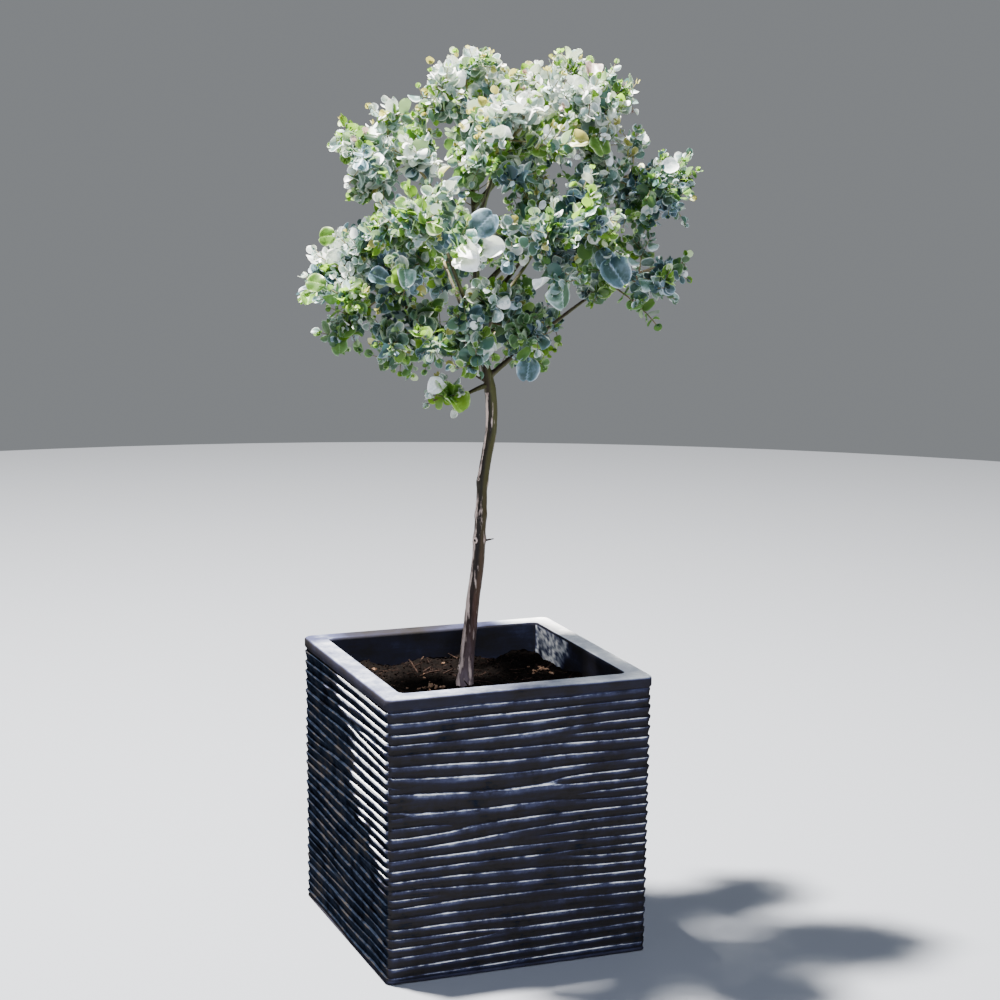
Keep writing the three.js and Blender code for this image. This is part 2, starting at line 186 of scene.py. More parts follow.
# A smooth field from -1 to 1, one value for each point, the same each run
def softNoise(points, seed):
    return np.array([noise.noise(Vector(p) + Vector((seed, 1.7 * seed, -seed))) for p in points])


def smoothStep(low, high, x):
    t = np.clip((x - low) / (high - low), 0, 1)
    return t * t * (3 - 2 * t)


# Planter: a tall many-sided cylinder, pressed into a square with round corners and combed into
# slats. Each slat leans out towards a sharp crest near its top, where a narrow ledge steps back.

planter = {
    "half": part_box("planter")[1][0],
    "height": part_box("planter")[1][2],
    "footShare": 0.992,  # the foot's width over the rim's
    "wall": 22.4 * mm,
    "floor": 236 * mm,  # under the compost
    "corner": 8 * mm,
    "bevel": 3 * mm,
    "band": 12 * mm,  # smooth band under the rim
    "bandStep": 2.2 * mm,
    "round": 3 * mm,
    "rimSag": 0.3 * mm,
    "columns": 224,
    "flatShare": 23 / 28,  # share of a side's columns on its flat part, the rest round the corners
    "rows": 362,
    "innerRows": 24,
    "cuts": (19, 19),  # twenty strips, each cut into twenty, for the rings of the whole profile
    "sharpFrom": 32,  # degrees
    "pitch": 10.1 * mm,
    "crest": 0.89,  # share of the pitch, from the groove below
    "depth": 2.4 * mm,
    "drag": 0.2 * mm,  # depth of the fine lines that the comb leaves
    "wander": [(2.8, 190, 80, 3.1), (1.2, 90, 22, 8.3), (0.25, 24, 7, 5.7)],  # size, length, height, seed
    # where one slat becomes two on the right, back, left and front side, as shares of the side's
    # half width and of the height, and to which hand the extra slat runs: 1 is right
    "forks": [
        [(0.30, 0.84, 1), (-0.62, 0.60, -1), (0.38, 0.53, 1), (-0.30, 0.36, -1), (0.5, 0.16, 1)],
        [(-0.5, 0.76, -1), (0.24, 0.63, 1), (-0.1, 0.41, -1), (0.55, 0.3, 1), (-0.4, 0.17, -1)],
        [(0.35, 0.81, 1), (-0.45, 0.66, -1), (0.15, 0.5, 1), (0.6, 0.36, 1), (-0.2, 0.2, -1)],
        [
            (0.34, 0.82, 1), (0.30, 0.655, 1), (0.44, 0.60, 1), (-0.90, 0.685, -1), (-0.86, 0.64, -1),
            (-0.90, 0.595, -1), (-0.53, 0.54, -1), (0.06, 0.47, 1), (0.36, 0.39, 1), (-0.60, 0.30, -1),
            (-0.2, 0.14, -1),
        ],
    ],
    "forkLength": 5,
    "heart": (13 * mm, 3.2 * mm),  # length and height of the smooth spot where a slat forks
    "paintedShadeSide": 2,  # the side given painted shade and a painted sunlit patch, counted on from the right one
}


# The profile from the foot up the outside, over the rim and down inside: half width and height
def planterProfile(p):
    bandFoot = p["height"] - p["band"]
    lowHalf = p["half"] * p["footShare"]
    rings = [(lowHalf - p["bevel"], 0.0), (lowHalf - 0.3 * p["bevel"], 0.3 * p["bevel"])]
    for k in range(p["rows"]):
        z = p["bevel"] + (bandFoot - p["bevel"]) * k / (p["rows"] - 1)
        rings.append((lowHalf + (p["half"] - lowHalf) * z / p["height"], z))
    rings += [(p["half"] - 0.5 * mm, bandFoot + 1.2 * mm), (p["half"], bandFoot + 2.6 * mm)]
    quarterTurn = [math.pi / 8 * k for k in range(5)]
    for angle in quarterTurn:
        lift, out = p["round"] * (math.sin(angle) - 1), p["round"] * (math.cos(angle) - 1)
        rings.append((p["half"] + out, p["height"] + lift))
    inner = p["half"] - p["wall"]
    rings.append((p["half"] - p["wall"] / 2, p["height"]))
    for angle in quarterTurn:
        lift, out = p["round"] * (math.cos(angle) - 1), p["round"] * (1 - math.sin(angle))
        rings.append((inner + out, p["height"] + lift))
    for k in range(1, p["innerRows"] + 1):
        sunk = (p["height"] - p["round"] - p["floor"]) * k / p["innerRows"]
        rings.append((inner, p["height"] - p["round"] - sunk))
    return rings


# A field over one side, in patches so many millimetres wide and tall
def sideNoise(u, z, wide, tall, layer, seed):
    return softNoise(np.stack([u / (wide * mm), z / (tall * mm), np.full_like(u, layer)], 1), seed)


# How far the clay stands out, from 0 in a groove to 1 on a crest, at places along one side, and
# the comb's own state there: its phase as a cosine and a sine, and how far its crest is rubbed,
# with painted shade over one side but for a painted sunlit patch at its upper front corner
def combed(p, side, u, z):
    wander = np.zeros_like(u)
    for size, wide, tall, seed in p["wander"]:
        wander += size * mm * sideNoise(u, z, wide, tall, 7.3 * side + seed, seed)
    phase = (z + wander) / p["pitch"] + 0.31 * side
    heart = np.zeros_like(u)
    heartLength, heartHeight = p["heart"]
    for across, up, way in p["forks"][side]:
        along, off = way * (u - across * p["half"]), z - up * p["height"]
        phase += np.arctan2(p["forkLength"] * off, along) / (2 * math.pi)
        heart = np.maximum(heart, np.exp(-((along / heartLength) ** 2) - (off / heartHeight) ** 2))
    part = phase % 1
    rise = np.clip(part / p["crest"], 0, 1) ** 1.2
    fall = np.clip((1 - part) / (1 - p["crest"]), 0, 1)
    swell = np.clip(0.97 + 0.6 * sideNoise(u, z, 95, 11, 3.9 * side, 2.2), 0.55, 1.05)
    height = np.minimum(rise, fall) * swell * (1 - heart) + 0.62 * heart
    rubbedAndPaintedLight = np.clip(0.82 + 0.8 * sideNoise(u, z, 60, 12, 2.7 * side + 1, 7.7), 0.3, 1) * (1 - 0.8 * heart)
    if side == p["paintedShadeSide"]:  # painted shade, but for a painted sunlit patch slanting over its upper front corner
        above = z / p["height"] - 0.75
        forward = u / p["half"] + 1.3 * above + 1.2 * np.maximum(above, 0)
        forward += 0.5 * sideNoise(u, z, 34, 26, 0, 3.3)
        rubbedAndPaintedLight *= 0.06 + 3.9 * smoothStep(0.1, 0.46, forward) * smoothStep(-0.46, -0.36, above)
    turn = 2 * math.pi * phase
    return np.stack([height, np.cos(turn), np.sin(turn), rubbedAndPaintedLight], 1)


# The new places of the cylinder's corners, how bare the clay is at each with painted light and
# shade in it, and the comb's state
def shapePlanter(points, p):
    rings = planterProfile(p)
    ring = np.rint((points[:, 2] / p["height"]) * (len(rings) - 1)).astype(int)
    half, z = np.array(rings)[ring].T
    quarter = np.arctan2(points[:, 1], points[:, 0]) / (math.pi / 2)
    side = np.floor(quarter + 0.5)
    place = 2 * (quarter - side)  # from -1 to 1 across a side, corners included
    flat = half - p["corner"]
    arc = np.clip((np.abs(place) - p["flatShare"]) / (1 - p["flatShare"]), 0, 1) * math.pi / 4
    straight = np.clip(place / p["flatShare"], -1, 1) * flat
    u = straight + np.sign(place) * p["corner"] * np.sin(arc)
    out = flat + p["corner"] * np.cos(arc)
    ridged = (ring >= 2) & (ring < 2 + p["rows"])
    bandFoot = p["height"] - p["band"]
    fade = smoothStep(0, 2.4 * mm, z - p["bevel"]) * smoothStep(0, 2.0 * mm, bandFoot - z)
    comb = np.zeros((len(points), 4))
    for k in range(4):
        mine = ridged & (np.mod(side, 4) == k)
        comb[mine] = combed(p, k, u[mine], z[mine])
    # a side's slats run out round the corner, where the neighbour's grooves notch them
    for k in range(4):
        near = ridged & (arc > 0) & (np.mod(side + np.sign(place), 4) == k)
        other = combed(p, k, -u[near], z[near])
        mixed = smoothStep(0, 0.7, arc[near])
        comb[near, 0] += mixed * (np.minimum(comb[near, 0], other[:, 0]) - comb[near, 0])
        comb[near, 3] *= 1 - 0.7 * mixed
    drag = sideNoise(u, z, 30, 1.6, side * 5.1 + 0.4, 4.4)
    soft = sideNoise(u, z, 40, 14, side * 3.3, 6.1)
    sink = np.where(ridged, fade * (p["depth"] * (1 - comb[:, 0]) + p["drag"] * (drag + 1)), 0)
    sink += np.where(ridged, (1 - fade) * p["bandStep"], 0)
    outerRim = (ring >= 2 + p["rows"]) & (half > 0.9 * p["half"])
    sink += np.where(outerRim, p["rimSag"] * (soft + 1), 0)
    out = out - sink * np.cos(arc)
    u = u - sink * np.sin(arc) * np.sign(place)
    cosine, sine = np.cos(side * math.pi / 2), np.sin(side * math.pi / 2)
    shaped = np.stack([out * cosine - u * sine, out * sine + u * cosine, z], 1)
    comb[:, 3] = np.where(ridged, comb[:, 3] * fade, 0)
    # painted shade: the shaded side's slats are darker, fading out round its corners
    paintedLeftShade = (np.mod(side, 4) == p["paintedShadeSide"]) * (1 - smoothStep(0.3, 0.75, arc))
    rim = rimWearAndPaintedLight(p, shaped, ring >= 4 + p["rows"]) + 0.1 * soft
    wear = np.where(ridged, 0.15 - 0.11 * paintedLeftShade + 0.2 * (1 - fade), rim)
    inside = half < p["half"] - p["wall"] + p["round"] / 2
    return shaped, np.where(inside, 0.22 + 0.14 * soft + paintedSunPatch(p, shaped), wear), comb[:, 1:]


# The rim is bare on its top and more so at its edge; paler on top towards the right as painted
# light, and darker along the back as painted shade, least at its left corner
def rimWearAndPaintedLight(p, points, rounded):
    x, y, z = points.T
    level = z - p["height"]
    bareAndPaintedLight = np.where(rounded, 0.24 + 0.38 * smoothStep(-1.6 * mm, -0.3 * mm, level), 0.24)
    bareAndPaintedLight += 0.12 * np.exp(-(((level + 0.9 * mm) / (0.7 * mm)) ** 2))
    # painted light on the rim's top towards the right, then painted shade along its back
    bareAndPaintedLight += 0.27 * smoothStep(-20 * mm, 90 * mm, x) * (z > p["height"] - 2 * mm)
    paintedBackShade = smoothStep(95 * mm, 125 * mm, y) * (1 - smoothStep(60 * mm, 110 * mm, x))
    return bareAndPaintedLight - (0.14 + 0.3 * smoothStep(-130 * mm, -70 * mm, x)) * paintedBackShade


def paintedSunPatch(p, points):  # a painted patch of sunlight on one inner wall, near its back corner
    x, y, z = points.T
    inner = p["half"] - p["wall"]
    edge = 10 * mm * softNoise(points / (14 * mm), 3.8)
    patch = smoothStep(0, 12 * mm, y + edge - 12 * mm - 0.77 * (p["height"] - z))
    blotches = softNoise(points / (3.4 * mm), 8.8) + 0.8 * softNoise(points / (9 * mm), 5.2)
    return patch * (0.48 + 0.5 * blotches) * (x > inner - 1 * mm) * (z < p["height"] - 2 * mm)


def makePlanter(p):
    bpy.ops.mesh.primitive_cylinder_add(
        vertices=p["columns"], radius=p["half"], depth=p["height"], location=(0, 0, p["height"] / 2)
    )
    piece = bpy.context.active_object
    piece.name = "combedPlanter"
    bpy.ops.object.transform_apply(location=True, rotation=True, scale=True)
    cutUpright(piece, *p["cuts"])
    shaped, wear, comb = shapePlanter(coords(piece.data), p)
    setCoords(piece.data, shaped)
    giveLayer(piece, "wear", wear)
    giveLayer(piece, "comb", comb)
    selectOnly(piece)
    bpy.ops.object.shade_smooth_by_angle(angle=math.radians(p["sharpFrom"]))
    return piece


# Fibre clay, pressed and combed while wet, then stained near black. The blue-violet band on the
# upper half of each slat is a painted sheen, and the broken pale line along its crest is partly
# rubbed and weathered clay and partly a painted highlight. The comb's phase tells where on its
# slat a point lies: 0 in the groove, 1 in the next.
def clayMaterial():
    material, tree, shader = newMaterial("stainedFibreClayPaintedLight")
    place = addNode(tree, "TexCoord", {}, "Object")
    wear = addNode(tree, "Attribute", {"attribute_name": "wear"}, "Fac")
    comb = addNode(tree, "Attribute", {"attribute_name": "comb"}, "Vector")
    cosine, sine, rubbedAndPaintedLight = addNode(tree, "SeparateXYZ", {0: comb}).node.outputs
    turn = addNode(tree, "Math", {"operation": "ARCTAN2", 0: sine, 1: cosine})
    turns = addNode(tree, "Math", {"operation": "MULTIPLY_ADD", 0: turn, 1: 0.5 / math.pi, 2: 1.0})
    part = addNode(tree, "Math", {"operation": "FRACT", 0: turns})
    # bloom is the painted sheen on each slat's face; line is the pale crest, rubbed clay with a painted
    # highlight
    sheenStops = [(0.0, 0.0), (0.4, 0.0), (0.66, 0.75), (0.88, 1.0), (0.94, 0.0)]
    crestStops = [(0.81, 0.0), (0.875, 1.0), (0.905, 1.0), (0.945, 0.0)]
    bloom = addNode(tree, "ValToRGB", {"stops": sheenStops, "Fac": part})
    line = addNode(tree, "ValToRGB", {"stops": crestStops, "Fac": part})
    drawn = addNode(tree, "Mapping", {"Scale": (0.12, 0.12, 1), "Vector": place})
    streaky = {"Scale": 1 / (2.6 * mm), "Detail": 7, "Roughness": 0.74, "Vector": drawn}
    chips = addNode(tree, "TexNoise", streaky)
    cloudy = {"Scale": 1 / (26 * mm), "Detail": 7, "Roughness": 0.7, "Vector": place}
    patches = addNode(tree, "TexNoise", cloudy)
    blotched = addNode(tree, "Math", {"operation": "MULTIPLY_ADD", 0: patches, 1: 1.3, 2: -0.05})
    paintedSheen = addNode(tree, "Math", {"operation": "MULTIPLY", 0: bloom, 1: blotched})
    chipped = addNode(tree, "Math", {"operation": "MULTIPLY_ADD", 0: chips, 1: 2.9, 2: -1.72})
    broken = addNode(tree, "Math", {"operation": "MULTIPLY_ADD", 0: patches, 1: 1.3, 2: chipped})
    crestAndHighlight = addNode(tree, "Math", {"operation": "MULTIPLY", 0: line, 1: broken})
    sheenAndCrest = addNode(tree, "Math", {"operation": "MULTIPLY_ADD", 0: paintedSheen, 1: 0.6, 2: crestAndHighlight})
    bared = addNode(tree, "Math", {"operation": "MULTIPLY_ADD", 0: sheenAndCrest, 1: rubbedAndPaintedLight, 2: wear})
    mottled = addNode(tree, "Math", {"operation": "MULTIPLY_ADD", 0: patches, 1: 0.45, 2: -0.33})
    scuffed = addNode(tree, "Math", {"operation": "MULTIPLY_ADD", 0: chips, 1: 0.24, 2: mottled})
    total = addNode(tree, "Math", {"operation": "ADD", 0: bared, 1: scuffed})
    stops = [(0, "#090a0e"), (0.07, "#131924"), (0.13, "#262423"), (0.3, "#292933")]
    stops += [(0.5, "#3e4158"), (0.64, "#6c7182"), (0.8, "#b2b5bc"), (1, "#f3f3f1")]
    stain = addNode(tree, "ValToRGB", {"stops": stops, "Fac": total})
    streak = addNode(tree, "Mapping", {"Scale": (0.3, 0.3, 1), "Vector": place})
    grain = {"Scale": 1 / (1.1 * mm), "Detail": 4, "Roughness": 0.6, "Vector": streak}
    fine = addNode(tree, "TexNoise", grain)
    relief = addNode(tree, "Bump", {"Strength": 0.4, "Distance": 0.4 * mm, "Height": fine})
    gloss = addNode(tree, "MapRange", {"To Min": 0.5, "To Max": 0.8, "Value": chips})
    setNode(tree, shader, {"Base Color": stain, "Normal": relief, "Roughness": gloss})
    setNode(tree, shader, {"Specular IOR Level": 0})  # dry and matt, even where seen along the wall
    return material


settle(makePlanter(planter), clayMaterial(), ["planter"])


# Compost: a fine lumpy sheet closed underneath, strewn with crumbs, fibres and bark chips

compost = {
    "half": planter["half"] - planter["wall"] + 0.4 * mm,
    "top": 255 * mm,
    "bottom": 239 * mm,
    "cells": 200,
    "lumps": [(2.0, 11, 1.3), (1.4, 4.6, 2.9)],  # height and width in mm, and seed
    "grit": (0.55, 2.2, 5.3),
    "clear": 11 * mm,  # nothing is strewn so near the trunk
    # how many are strewn, their smallest and largest length in mm, how far they lie askew in
    # radians, and how thick they are for their length
    "crumbs": (1700, (1.0, 4.2), 0.5, 0.8),
    "chips": (34, (3, 9), 0.28, 0.42),
    "fibres": (420, (7, 26), 0.22, 0.06),
    "piles": {"chips": [(-0.047, 0.006), (0.088, 0.034)]},  # where they gather, planter's frame
    "pileWidth": 11 * mm,
}


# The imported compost's own heaps and dips, which the fine surface follows
def compostHeight(x, y):
    far = np.hypot(x, y) / 280
    broad = np.sin(x / 17 + 1) * np.cos(y / 21)
    small = 0.6 * np.sin(x / 9 - y / 13)
    heap = 3.5 * (broad + small) - (2.8 + 6.3 * x / 280) * far
    apart = np.maximum(np.abs(x), np.abs(y))
    return heap * smoothStep(12, 44, apart)


def compostSurface(x, y):  # metres in, metres out
    spots = np.stack([x, y, np.zeros_like(x)], 1)
    lumps = sum(tall * softNoise(spots / (wide * mm), seed) for tall, wide, seed in compost["lumps"])
    tall, wide, seed = compost["grit"]
    grit = tall * np.abs(softNoise(spots / (wide * mm), seed))
    return compost["top"] + mm * (compostHeight(x / mm, y / mm) + lumps + grit + 0.4)


def makeCompost(c):
    bpy.ops.mesh.primitive_grid_add(
        x_subdivisions=c["cells"], y_subdivisions=c["cells"], size=2 * c["half"], location=(0, 0, c["bottom"])
    )
    sheet = bpy.context.active_object
    sheet.name = "compostBed"
    bpy.ops.object.transform_apply(location=True, rotation=True, scale=True)
    bpy.context.tool_settings.mesh_select_mode = (False, False, True)
    rise = {"value": (0, 0, c["top"] - c["bottom"])}
    editAll(bpy.ops.mesh.extrude_region_move, TRANSFORM_OT_translate=rise)
    points = coords(sheet.data)
    raised = points[:, 2] > (c["top"] + c["bottom"]) / 2
    points[raised, 2] = compostSurface(points[raised, 0], points[raised, 1])
    setCoords(sheet.data, points)
    shadeSmooth(sheet)
    return sheet


# Lumps for crumbs, and flat splinters for chips and fibres, each modelled once
def crumbShape(seed):
    bpy.ops.mesh.primitive_ico_sphere_add(subdivisions=2, radius=1)
    lump = bpy.context.active_object
    points = coords(lump.data)
    points *= (1 + 0.38 * softNoise(points * 1.1, seed) + 0.2 * softNoise(points * 2.6, seed + 4))[:, None]
    return takeShape(lump, points * (1, 0.82, 0.66))


def splinterShape(seed, bend):
    bpy.ops.mesh.primitive_cube_add(size=2)
    editAll(bpy.ops.mesh.subdivide, number_cuts=2)
    splinter = bpy.context.active_object
    points = coords(splinter.data)
    x = points[:, 0].copy()
    points[:, 1] *= 1 - 0.55 * np.abs(x) ** 1.5
    points[:, 2] *= 1 - 0.5 * np.abs(x)
    points[:, 1] += bend * x * x
    points += 0.12 * np.stack([softNoise(points, seed + k) for k in range(3)], 1)
    return takeShape(splinter, points)


def takeShape(piece, points):  # a shape's corners and faces, and its object is removed
    faces = [tuple(face.vertices) for face in piece.data.polygons]
    bpy.data.meshes.remove(piece.data)
    return {"points": points, "faces": faces}


def strewn(c, kind, shapes, random):  # the corners and faces of all the loose pieces of a kind
    count, (low, high), askew, thin = c[kind]
    piles = c["piles"].get(kind)
    reach = c["half"] - 3 * mm
    parts = []
    while len(parts) < count:
        x, y = random.uniform(-reach, reach, 2)
        if piles and len(parts) > count / 4:
            x, y = np.array(piles[len(parts) % len(piles)]) + random.normal(0, c["pileWidth"], 2)
        fromTrunk = math.hypot(x - trunkFoot[0], y - trunkFoot[1])
        if max(abs(x), abs(y)) > reach or fromTrunk < c["clear"]:
            continue
        size = mm * (low + (high - low) * random.random() ** 2.4) / 2
        z = compostSurface(np.array([x]), np.array([y]))[0] + size * thin * 0.5
        turn = Matrix.Rotation(random.uniform(0, 2 * math.pi), 4, "Z")
        tilt = [Matrix.Rotation(random.normal(0, askew), 4, axis) for axis in "XY"]
        scale = Matrix.Diagonal((size, size * thin, size * thin, 1))
        matrix = Matrix.Translation((x, y, z)) @ turn @ (tilt[0] @ tilt[1]) @ scale
        shape = shapes[random.integers(0, 4)]
        corners = shape["points"] @ np.array(matrix.to_3x3()).T + np.array(matrix.translation)
        parts.append((corners, shape["faces"]))
    return joined(parts)


# Peat-free compost, coarse and damp: dark brown with lighter fibres, quite without gloss
def compostMaterial(name, dark, middle, light):
    material, tree, shader = newMaterial(name)
    place = addNode(tree, "TexCoord", {}, "Object")
    crumbly = {"Scale": 1 / (3.2 * mm), "Detail": 5, "Roughness": 0.7, "Vector": place}
    stops = [(0.3, dark), (0.52, middle), (0.74, light)]
    colour = addNode(tree, "ValToRGB", {"stops": stops, "Fac": addNode(tree, "TexNoise", crumbly)})
    grit = addNode(tree, "TexNoise", {"Scale": 1 / (0.9 * mm), "Detail": 3, "Vector": place})
    relief = addNode(tree, "Bump", {"Strength": 0.7, "Distance": 0.6 * mm, "Height": grit})
    setNode(tree, shader, {"Base Color": colour, "Normal": relief})
    setNode(tree, shader, {"Roughness": 0.95, "Specular IOR Level": 0.04})
    return material


# Limbs, worked out in the plant's own frame, in millimetres, which is turned in the planter

plantTurn = math.radians(-21.5)
plantAxes = np.array(Matrix.Rotation(plantTurn, 3, "Z"))

limbs = {
    "trunk": [
        (-8, 0, 255), (-6.5, 1, 274), (-4, 2, 302), (0, 2, 344), (4.5, 0, 380), (6.5, -2, 415),
        (8, -3, 447), (8.5, -3, 464), (12.5, -1, 492), (17, 1, 519), (17, 1, 546), (15.5, 0, 562),
    ],
    "girth": [(0, 9.6), (0.035, 8.2), (0.12, 7.3), (0.42, 6.5), (0.66, 5.5), (0.8, 5.7), (1, 5.9)],
    "trunkSunk": (257, 252.5),  # what is below the first height goes down to the second
    "scars": [407, 433, 467],
    "scarSwell": (0.9, 5),  # how far a scar stands out, and its half height
    "knots": [(407, 228, 2.9), (470, 228, 1.5), (273, 195, 2.6)],  # height, turn from +X in degrees, radius
    "stub": (406, 338, 9),  # a twig's broken end: height, turn and length
    "stubRadii": (1.3, 0.65),
    "leader": [(15.5, 0, 562), (8, -2, 598), (2, 0, 650), (0, 3, 703), (-3, 2, 752), (-6, 0, 800)],
    "leaderSunk": (562.5, 4),  # what is below this height goes on down inside the trunk's top
    "leaderRadii": (4.9, 1.7),
    "leaderSwell": (1.05, 0.05),  # to the trunk's own girth, dying out in this share of its length
    "boughRadii": (2.9, 1.6),
    "boughSwell": (0.9, 0.06),  # its collar
    "stemRadii": (1.6, 1.05),
    "twigRadii": (1.05, 0.6),
    "shootRadii": (0.62, 0.34),
    "gap": 0.3,
}

# Each mass's lobe: its centre and half widths across, away and up, the height where its bough
# leaves, and how far the bough's middle is lifted, all in millimetres
lobes = {
    "left": ((-115, 2, 658), (70, 64, 78), 584, 10),
    "upper_left": ((-86, 10, 786), (64, 60, 60), 690, -6),
    "top_left": ((-10, -4, 846), (56, 58, 58), None, 0),
    "top_right": ((94, -4, 838), (68, 60, 60), 742, -12),
    "upper_right": ((148, 2, 762), (76, 60, 58), 655, 10),
    "right": ((158, 4, 666), (68, 60, 56), 572, 4),
    "low_left": ((-62, -22, 608), (52, 54, 46), 568, -4),
    "low_shoot": ((-25, -24, 554), (27, 24, 26), 565, 2),
    "low_front": ((18, -60, 622), (60, 54, 56), 590, -6),
    "front_left": ((-42, -108, 716), (66, 58, 64), 618, -8),
    "front_right": ((78, -102, 718), (66, 58, 64), 640, -8),
    "front_top": ((36, -84, 800), (62, 54, 56), 722, -6),
    "back_left": ((-52, 106, 692), (68, 60, 66), 604, -8),
    "back_right": ((84, 108, 700), (70, 60, 66), 628, -8),
    "back_top": ((28, 86, 796), (64, 56, 58), 708, -6),
    "low_back": ((36, 62, 616), (62, 54, 52), 597, -4),
}
lobeNames = list(lobes)
centres = np.array([lobe[0] for lobe in lobes.values()], float)
sizes = np.array([lobe[1] for lobe in lobes.values()], float)
reaches = sizes.mean(axis=1)


def densePath(points):
    along = np.concatenate([[0], np.cumsum(np.linalg.norm(np.diff(points, axis=0), axis=1))])
    return {"points": points, "share": along / along[-1], "length": along[-1]}


def pointOn(path, share):
    return np.array([np.interp(share, path["share"], path["points"][:, k]) for k in range(3)]).T


def directionOn(path, share):
    ahead = pointOn(path, min(1, share + 0.01)) - pointOn(path, max(0, share - 0.01))
    return ahead / np.linalg.norm(ahead)


def shareAtHeight(path, z):
    return np.interp(z, path["points"][:, 2], path["share"])


def pointAtHeight(path, z):
    return pointOn(path, shareAtHeight(path, z))


def smoothLine(knots):  # a centripetal spline through the knots
    knots = np.array(knots, float)
    ends = [2 * knots[0] - knots[1], *knots, 2 * knots[-1] - knots[-2]]
    points = []
    for a, b, c, d in zip(ends, ends[1:], ends[2:], ends[3:]):
        before, span, after = (math.sqrt(np.linalg.norm(q - p)) for p, q in ((a, b), (b, c), (c, d)))
        leaving = span * ((b - a) / before - (c - a) / (before + span) + (c - b) / span)
        arriving = span * ((c - b) / span - (d - b) / (span + after) + (d - c) / after)
        for t in np.arange(20) / 20:
            ease = t * t * (3 - 2 * t)
            bends = leaving * t * (1 - t) ** 2 - arriving * t * t * (1 - t)
            points.append(b * (1 - ease) + c * ease + bends)
    return densePath(np.array([*points, knots[-1]]))


def arch(start, middle, end):  # a quadratic Bezier curve
    t = np.linspace(0, 1, 33)[:, None]
    return densePath((1 - t) ** 2 * start + 2 * t * (1 - t) * middle + t * t * end)


def across(direction):  # two unit vectors square to a direction
    up = np.array([1.0, 0, 0]) if abs(direction[2]) > 0.9 else np.array([0, 0, 1.0])
    side = np.cross(direction, up)
    side /= np.linalg.norm(side)
    return side, np.cross(side, direction)


def around(direction, angle):  # one unit vector square to a direction, turned round it
    side, lift = across(direction)
    return side * math.cos(angle) + lift * math.sin(angle)


def seededRandom(seed):  # the same draws as the source makes from this seed
    state = seed & 0xFFFFFFFF
    while True:
        state = (state + 0x6D2B79F5) & 0xFFFFFFFF
        t = ((state ^ (state >> 15)) * (state | 1)) & 0xFFFFFFFF
        t ^= (t + (((t ^ (t >> 7)) * (t | 61)) & 0xFFFFFFFF)) & 0xFFFFFFFF
        yield ((t ^ (t >> 14)) & 0xFFFFFFFF) / 4294967296


def toWorld(points):  # from the plant's frame in millimetres to the row's in metres
    return (np.asarray(points) @ plantAxes.T) * mm


trunkPath = smoothLine(limbs["trunk"])
leaderPath = smoothLine(limbs["leader"])
trunkFoot = limbs["trunk"][0][0] * mm * np.array([math.cos(plantTurn), math.sin(plantTurn)])


# The courses of boughs, stems and side twigs follow the source's own rule, with its numbers
def boughPath(centre, size, start, lift):
    inward = (start - centre) * (1, 1, 0.55)
    end = centre + 0.72 * size * inward / np.linalg.norm(inward)
    middle = (start + end) / 2 + (0, 0, lift)
    return arch(start, middle, end)


def stemPath(bough, centre, size):
    direction = directionOn(bough, 1)
    start = bough["points"][-1] + limbs["gap"] * direction
    onward = start + 1.5 * (centre - start) + (0, 0, 0.2 * size[2])
    turn = start + direction * 0.4 * np.linalg.norm(onward - start)
    return arch(start, turn, onward)


def sideTwigPath(index, stem, k, count, random):
    centre, size = centres[index], sizes[index]
    axis = stem["points"][-1] - centre
    axis /= np.linalg.norm(axis)
    side, lift = across(axis)
    rise = -0.75 + 1.72 * (k + 0.5) / count
    spin = k * math.pi * (3 - math.sqrt(5)) + 0.6 * next(random)
    wide = math.sqrt(1 - rise * rise)
    tip = centre + 0.8 * size * (axis * rise + side * wide * math.cos(spin) + lift * wide * math.sin(spin))
    share = 0.14 + 0.8 * k / count
    root = pointOn(stem, share)
    tip = drawnIn(root, tip, index, 0, 8, 0.12)
    middle = (root + tip) / 2 + 6 * directionOn(stem, share)
    return arch(root, middle, tip)


def drawnIn(root, tip, index, room, tries, step):  # a tip, moved towards its root until it has room
    for _ in range(tries):
        if roomAt(tip, index) >= room:
            break
        tip = tip + step * (root - tip)
    return tip


# How far a point lies inside its lobe, on its own side of the planes to its neighbours, and
# inside the solids' box, in mm
def roomAt(point, index):
    power = ((centres - point) ** 2).sum(axis=1) - reaches**2
    apart = np.linalg.norm(centres - centres[index], axis=1)
    apart[index] = 1
    planes = (power - power[index]) / (2 * apart)
    planes[index] = 1e3
    depth = 1 - np.linalg.norm((point - centres[index]) / sizes[index])
    placed = toWorld(point)
    walls = min((placed - cadBox[0]).min(), (np.array(cadBox[1]) - placed).min()) / mm
    if walls < 1:
        return -1e3
    return min(planes.min() + foliage["overlap"], depth * reaches[index], walls - 6)


# Foliage: every side twig of the source goes on into finer shoots, which carry leaves in pairs,
# each pair square to the one before, from the largest near its foot to the young ones at its tip

